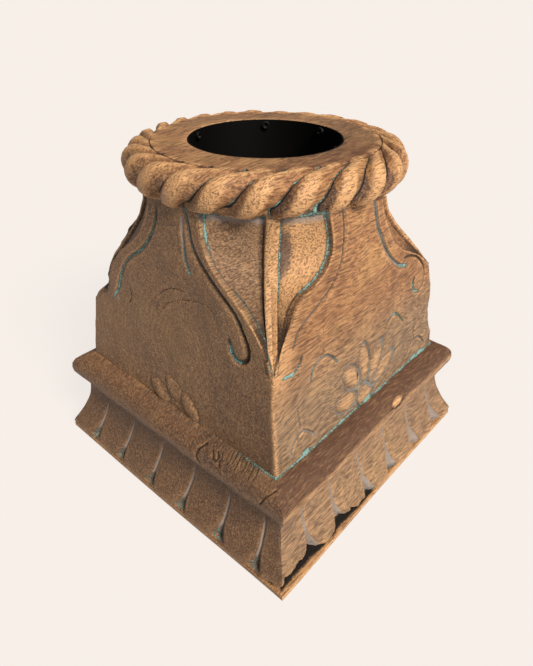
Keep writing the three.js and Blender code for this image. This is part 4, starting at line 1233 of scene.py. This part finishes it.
def weathered_wood(colours):
    """Old waxed hardwood, sawn with its grain along Y, hand carved, rubbed at its edges, with dirt
    and the remains of blue-green and grey-white paint in its carving, and painted shade in its slots, creases
    and grooves.
    To the eye: warm brown with dark pores and streaks, end grain with growth rings, a low waxy sheen on what
    hands reach."""
    material, tree, shader = new_material("weathered_waxed_teak")
    place = add(tree, "TexCoord", output="Object")
    normal = add(tree, "NewGeometry", output="Normal")
    marks = {name: add(tree, "Attribute", output="Fac", attribute_name=name) for name in Surface(0).marks}

    # The pith runs along Y, 13 mm right of the middle and 153 mm up
    grain = add(tree, "Mapping", {"Vector": place, "Location": (-0.013, 0, -0.153)})
    drift = add(tree, "TexNoise", {"Vector": grain, "Scale": per_metre(95), "Detail": 2.0}, "Color")
    drift = add(tree, "VectorMath", (drift, (0.5, 0.5, 0.5)), operation="SUBTRACT")
    drift = add(tree, "VectorMath", {0: drift, "Scale": 0.03}, operation="SCALE")
    wavy = add(tree, "VectorMath", (grain, drift))
    rings = add(tree, "TexWave", {"Vector": wavy, "Scale": 0.314 / 0.0052, "Distortion": 5.0,
                                  "Detail": 2.0, "Detail Scale": 25.0},
                "Fac", wave_type="RINGS", rings_direction="Y")
    fibre = add(tree, "Mapping", {"Vector": wavy, "Scale": (1, 0.075, 1)})
    pore_way = add(tree, "Mapping", {"Vector": wavy, "Scale": (1, 0.16, 1)})
    streaks, broad_streaks, pores, patches, speckle, crumbs, tool_marks = (
        add(tree, "TexNoise",
            {"Vector": way, "Scale": per_metre(width), "Detail": detail, "Roughness": rough})
        for way, width, detail, rough in (
            (fibre, 1.15, 3.0, 0.6), (fibre, 8.0, 4.0, 0.6), (pore_way, 0.95, 2.0, 0.7),
            (place, 42, 4.0, 0.55), (place, 2.6, 3.0, 0.6), (place, 1.6, 4.0, 0.65), (place, 13, 2.0, 0.55)))
    across = add(tree, "SeparateXYZ", (normal,), 1)
    across = add(tree, "Math", (across, 0.0), operation="ABSOLUTE")
    end_grain, late, pore_dots, broken, patchy = (
        add(tree, "MapRange", (value, low, high, least, 1.0), interpolation_type="SMOOTHSTEP")
        for value, low, high, least in (
            (across, 0.55, 0.9, 0.0), (rings, 0.62, 0.98, 0.0), (pores, 0.55, 0.66, 0.0),
            (crumbs, 0.36, 0.60, 0.0), (patches, 0.4, 0.6, 0.15)))
    ring_lines = add(tree, "Math", (late, patchy), operation="MULTIPLY")

    # From the bare wood up: what shows a layer, between which values of it, how strongly, how much
    # more in some other place, and its colour
    colour = linear(colours.heart)
    for value, low, high, strength, more, other, shade in (
            (patches, 0.45, 0.62, 0.8, 0, None, colours.golden),
            (patches, 0.46, 0.32, 0.5, 0, None, colours.brown),
            (broad_streaks, 0.50, 0.70, 0.5, 0.25, end_grain, colours.brown),
            (end_grain, None, None, 0.42, 0, None, "#69543c"),
            (marks["faded"], None, None, 0.72, 0, None, "#6b6050"),
            (marks["brown"], None, None, 0.9, 0, None, "#42291a"),
            (ring_lines, None, None, 0.1, 0.5, end_grain, colours.brown),
            (marks["worn"], None, None, 0.84, 0, None, colours.worn),
            (streaks, 0.50, 0.61, 0.62, -0.06, end_grain, "#402618"),
            (streaks, 0.48, 0.36, 0.34, -0.18, marks["brown"], colours.worn),
            (crumbs, 0.5, 0.62, 0, 0.26, end_grain, "#3c2616"),
            (crumbs, 0.47, 0.36, 0, 0.2, end_grain, colours.worn),
            (pore_dots, None, None, 0.5, 0.25, end_grain, "#3c2313")):
        if low is not None:
            value = add(tree, "MapRange", (value, low, high, 0.0, 1.0), interpolation_type="SMOOTHSTEP")
        if other:
            strength = add(tree, "Math", (other, more, strength), operation="MULTIPLY_ADD")
        mask = add(tree, "Math", (value, strength), operation="MULTIPLY")
        colour = add(tree, "Mix", {0: mask, 6: colour, 7: linear(shade)}, 2, data_type="RGBA")

    # Then what lies on the wood, and the painted shade, with a crumbling edge: its mark, the edge's
    # two ends, how ragged the edge is, how strongly it covers, and its colour. Green has a dark fringe.
    grit = add(tree, "Math", (crumbs, 0.5), operation="SUBTRACT")
    for name, low, high, ragged, strength, shade in (
            # Stain and dirt also carry painted shade on the rope's walls, in the ribs' gutters and in the
            # slot under the petals; black is all painted shade.
            ("stain", 0.35, 0.8, 1.0, 0.8, colours.stain), ("dirt", 0.3, 0.9, 0.8, 0.85, colours.dirt),
            ("black", 0.3, 0.75, 0.4, 0.96, "#0e0906"), ("grey", 0.4, 0.75, 1.0, 0.7, colours.grey),
            ("green", 0.4, 0.6, 1.8, 0.9, "#38504b"), ("green", 0.6, 0.85, 1.8, 0.95, colours.green),
            ("green", 0.45, 0.7, 1.0, 0.5, None)):
        raised = add(tree, "Math", (grit, ragged, marks[name]), operation="MULTIPLY_ADD")
        covered, there = (add(tree, "MapRange", (value, *ends, 0.0, 1.0), interpolation_type="SMOOTHSTEP")
                          for value, ends in ((raised, (low, high)), (marks[name], (0.02, 0.2))))
        mask = add(tree, "Math", (covered, there), operation="MULTIPLY")
        mask = add(tree, "Math", (mask, strength), operation="MULTIPLY")
        if shade:
            colour = add(tree, "Mix", {0: mask, 6: colour, 7: linear(shade)}, 2, data_type="RGBA")
        else:
            paint_body = mask
    tree.links.new(colour, shader.inputs["Base Color"])

    rough = add(tree, "Math", (streaks, 0.2, 0.52), operation="MULTIPLY_ADD")
    rough = add(tree, "Math", (marks["dirt"], 0.25, rough), operation="MULTIPLY_ADD")
    tree.links.new(rough, shader.inputs["Roughness"])
    shader.inputs["Specular IOR Level"].default_value = 0.35

    torn = add(tree, "Math", (broken, marks["rough"]), operation="MULTIPLY")
    height = paint_body
    for value, share in ((streaks, 0.5), (pore_dots, -0.45), (late, -0.12), (speckle, 0.35), (torn, 1.6)):
        height = add(tree, "Math", (value, share, height), operation="MULTIPLY_ADD")
    fine = add(tree, "Bump", {"Strength": 0.8, "Distance": 0.0006, "Height": height})
    hand = add(tree, "Bump", {"Strength": 0.7, "Distance": 0.0016, "Height": tool_marks, "Normal": fine})
    tree.links.new(hand, shader.inputs["Normal"])
    return material


def worn_metal(name, width, detail, dark, light, smooth, dull):
    """A dark metal finish whose colour and sheen change a little with its wear."""
    material, tree, shader = new_material(name)
    place = add(tree, "TexCoord", output="Object")
    wear = add(tree, "TexNoise", {"Vector": place, "Scale": per_metre(width), "Detail": detail})
    tint = add(tree, "Mix", {0: wear, 6: linear(dark), 7: linear(light)}, 2, data_type="RGBA")
    gloss = add(tree, "MapRange", {"Value": wear, "To Min": smooth, "To Max": dull})
    tree.links.new(tint, shader.inputs["Base Color"])
    tree.links.new(gloss, shader.inputs["Roughness"])
    return material, tree, shader, wear


def black_sheet():
    """Thin steel sheet with satin black paint: even, dark, with a soft sheen and faint brush marks."""
    material, tree, shader, wear = worn_metal("satin_black_painted_steel", 18, 5.0, "#020202", "#050404",
                                              0.62, 0.75)
    shader.inputs["Specular IOR Level"].default_value = 0.06
    ripple = add(tree, "Bump", {"Strength": 0.15, "Distance": 0.0004, "Height": wear})
    tree.links.new(ripple, shader.inputs["Normal"])
    return material


def blackened_steel():
    """Oil-blackened steel: dark metal whose rubbed edges catch the light."""
    material, _, shader, _ = worn_metal("oil_blackened_steel", 2.5, 3.0, "#141312", "#4c4a47", 0.3, 0.5)
    shader.inputs["Metallic"].default_value = 1.0
    return material


# Stage

# The soft key light: its azimuth, its height above the horizon and its width, in degrees
KEY_AZIMUTH, KEY_HEIGHT, KEY_WIDTH = -10.5, 42, 22
KEY_COLOUR, SKY_COLOUR = "#fff6ea", "#f7f6ff"
# The floor: its radius in metres, the card's own colour, and how much light it gives off
FLOOR_RADIUS, FLOOR_CARD, FLOOR_GLOW = 40, "#454240", 0.91


class CARVEDBASE_OT_studio(bpy.types.Operator):
    """Set up the pale floor, the soft studio light and the camera"""
    bl_idname = "carved_base.studio"
    bl_label = "Studio"

    def execute(self, context):
        studio = context.scene.studio_settings
        self.camera(context, studio)
        self.floor(context, studio)
        self.light(context, studio)
        context.scene.view_settings.view_transform = "Standard"
        return {"FINISHED"}

    def camera(self, context, studio):
        deselect_all()
        bpy.ops.object.camera_add(location=studio.place)
        camera = context.object
        look = Euler((math.pi / 2 - studio.tilt, 0, studio.pan)).to_quaternion()
        camera.rotation_mode = "QUATERNION"
        camera.rotation_quaternion = look @ Quaternion((0, 0, 1), studio.roll)
        camera.data.lens = studio.lens
        camera.data.shift_y = studio.rise
        camera.data.clip_start = 0.01
        context.scene.camera = camera

    def floor(self, context, studio):
        deselect_all()
        bpy.ops.mesh.primitive_circle_add(vertices=96, radius=FLOOR_RADIUS, fill_type="NGON")
        floor = context.object
        floor.name = "studio_floor"
        # Matt pale card, which glows a little, so that it is as even as a photograph's background
        material, _, shader = new_material("matt_pale_card")
        shader.inputs["Base Color"].default_value = linear(FLOOR_CARD)
        shader.inputs["Specular IOR Level"].default_value = 0
        shader.inputs["Roughness"].default_value = 1
        shader.inputs["Emission Color"].default_value = linear(studio.floor_colour)
        shader.inputs["Emission Strength"].default_value = FLOOR_GLOW
        floor.data.materials.append(material)

    def light(self, context, studio):
        deselect_all()
        azimuth, height = math.radians(KEY_AZIMUTH), math.radians(KEY_HEIGHT)
        away = Vector((math.cos(azimuth) * math.cos(height), math.sin(azimuth) * math.cos(height),
                       math.sin(height)))
        bpy.ops.object.light_add(type="SUN", location=away)
        key = context.object
        key.rotation_mode = "QUATERNION"
        key.rotation_quaternion = away.to_track_quat("Z", "Y")
        key.data.angle = math.radians(KEY_WIDTH)
        key.data.energy = studio.key_power
        key.data.color = linear(KEY_COLOUR)[:3]
        world = bpy.data.worlds.new("soft_studio")
        context.scene.world = world
        world.use_nodes = True
        sky = world.node_tree.nodes["Background"]
        sky.inputs["Color"].default_value = linear(SKY_COLOUR)
        sky.inputs["Strength"].default_value = studio.world_light


class CARVEDBASE_PT_panel(bpy.types.Panel):
    """Lists the steps that build the column base"""
    bl_idname = "CARVEDBASE_PT_panel"
    bl_label = "Column Base"
    bl_space_type = "VIEW_3D"
    bl_region_type = "UI"
    bl_category = "Column Base"

    def draw(self, context):
        for step in STEPS:
            self.layout.operator(step.bl_idname)
        for group in ("timber_sizes", "wood_colours", "studio_settings"):
            settings = getattr(context.scene, group)
            for name in type(settings).__annotations__:
                self.layout.prop(settings, name)


STEPS = (CARVEDBASE_OT_timber, CARVEDBASE_OT_lining, CARVEDBASE_OT_screws, CARVEDBASE_OT_studio)
CLASSES = (TimberSizes, WoodColours, StudioSettings, *STEPS, CARVEDBASE_PT_panel)


def register():
    for cls in CLASSES:
        bpy.utils.register_class(cls)
    bpy.types.Scene.timber_sizes = bpy.props.PointerProperty(type=TimberSizes)
    bpy.types.Scene.wood_colours = bpy.props.PointerProperty(type=WoodColours)
    bpy.types.Scene.studio_settings = bpy.props.PointerProperty(type=StudioSettings)


def unregister():
    del bpy.types.Scene.studio_settings
    del bpy.types.Scene.wood_colours
    del bpy.types.Scene.timber_sizes
    for cls in reversed(CLASSES):
        bpy.utils.unregister_class(cls)


def main():
    register()
    for step in STEPS:
        group, name = step.bl_idname.split(".")
        getattr(getattr(bpy.ops, group), name)()


if __name__ == "__main__":
    main()
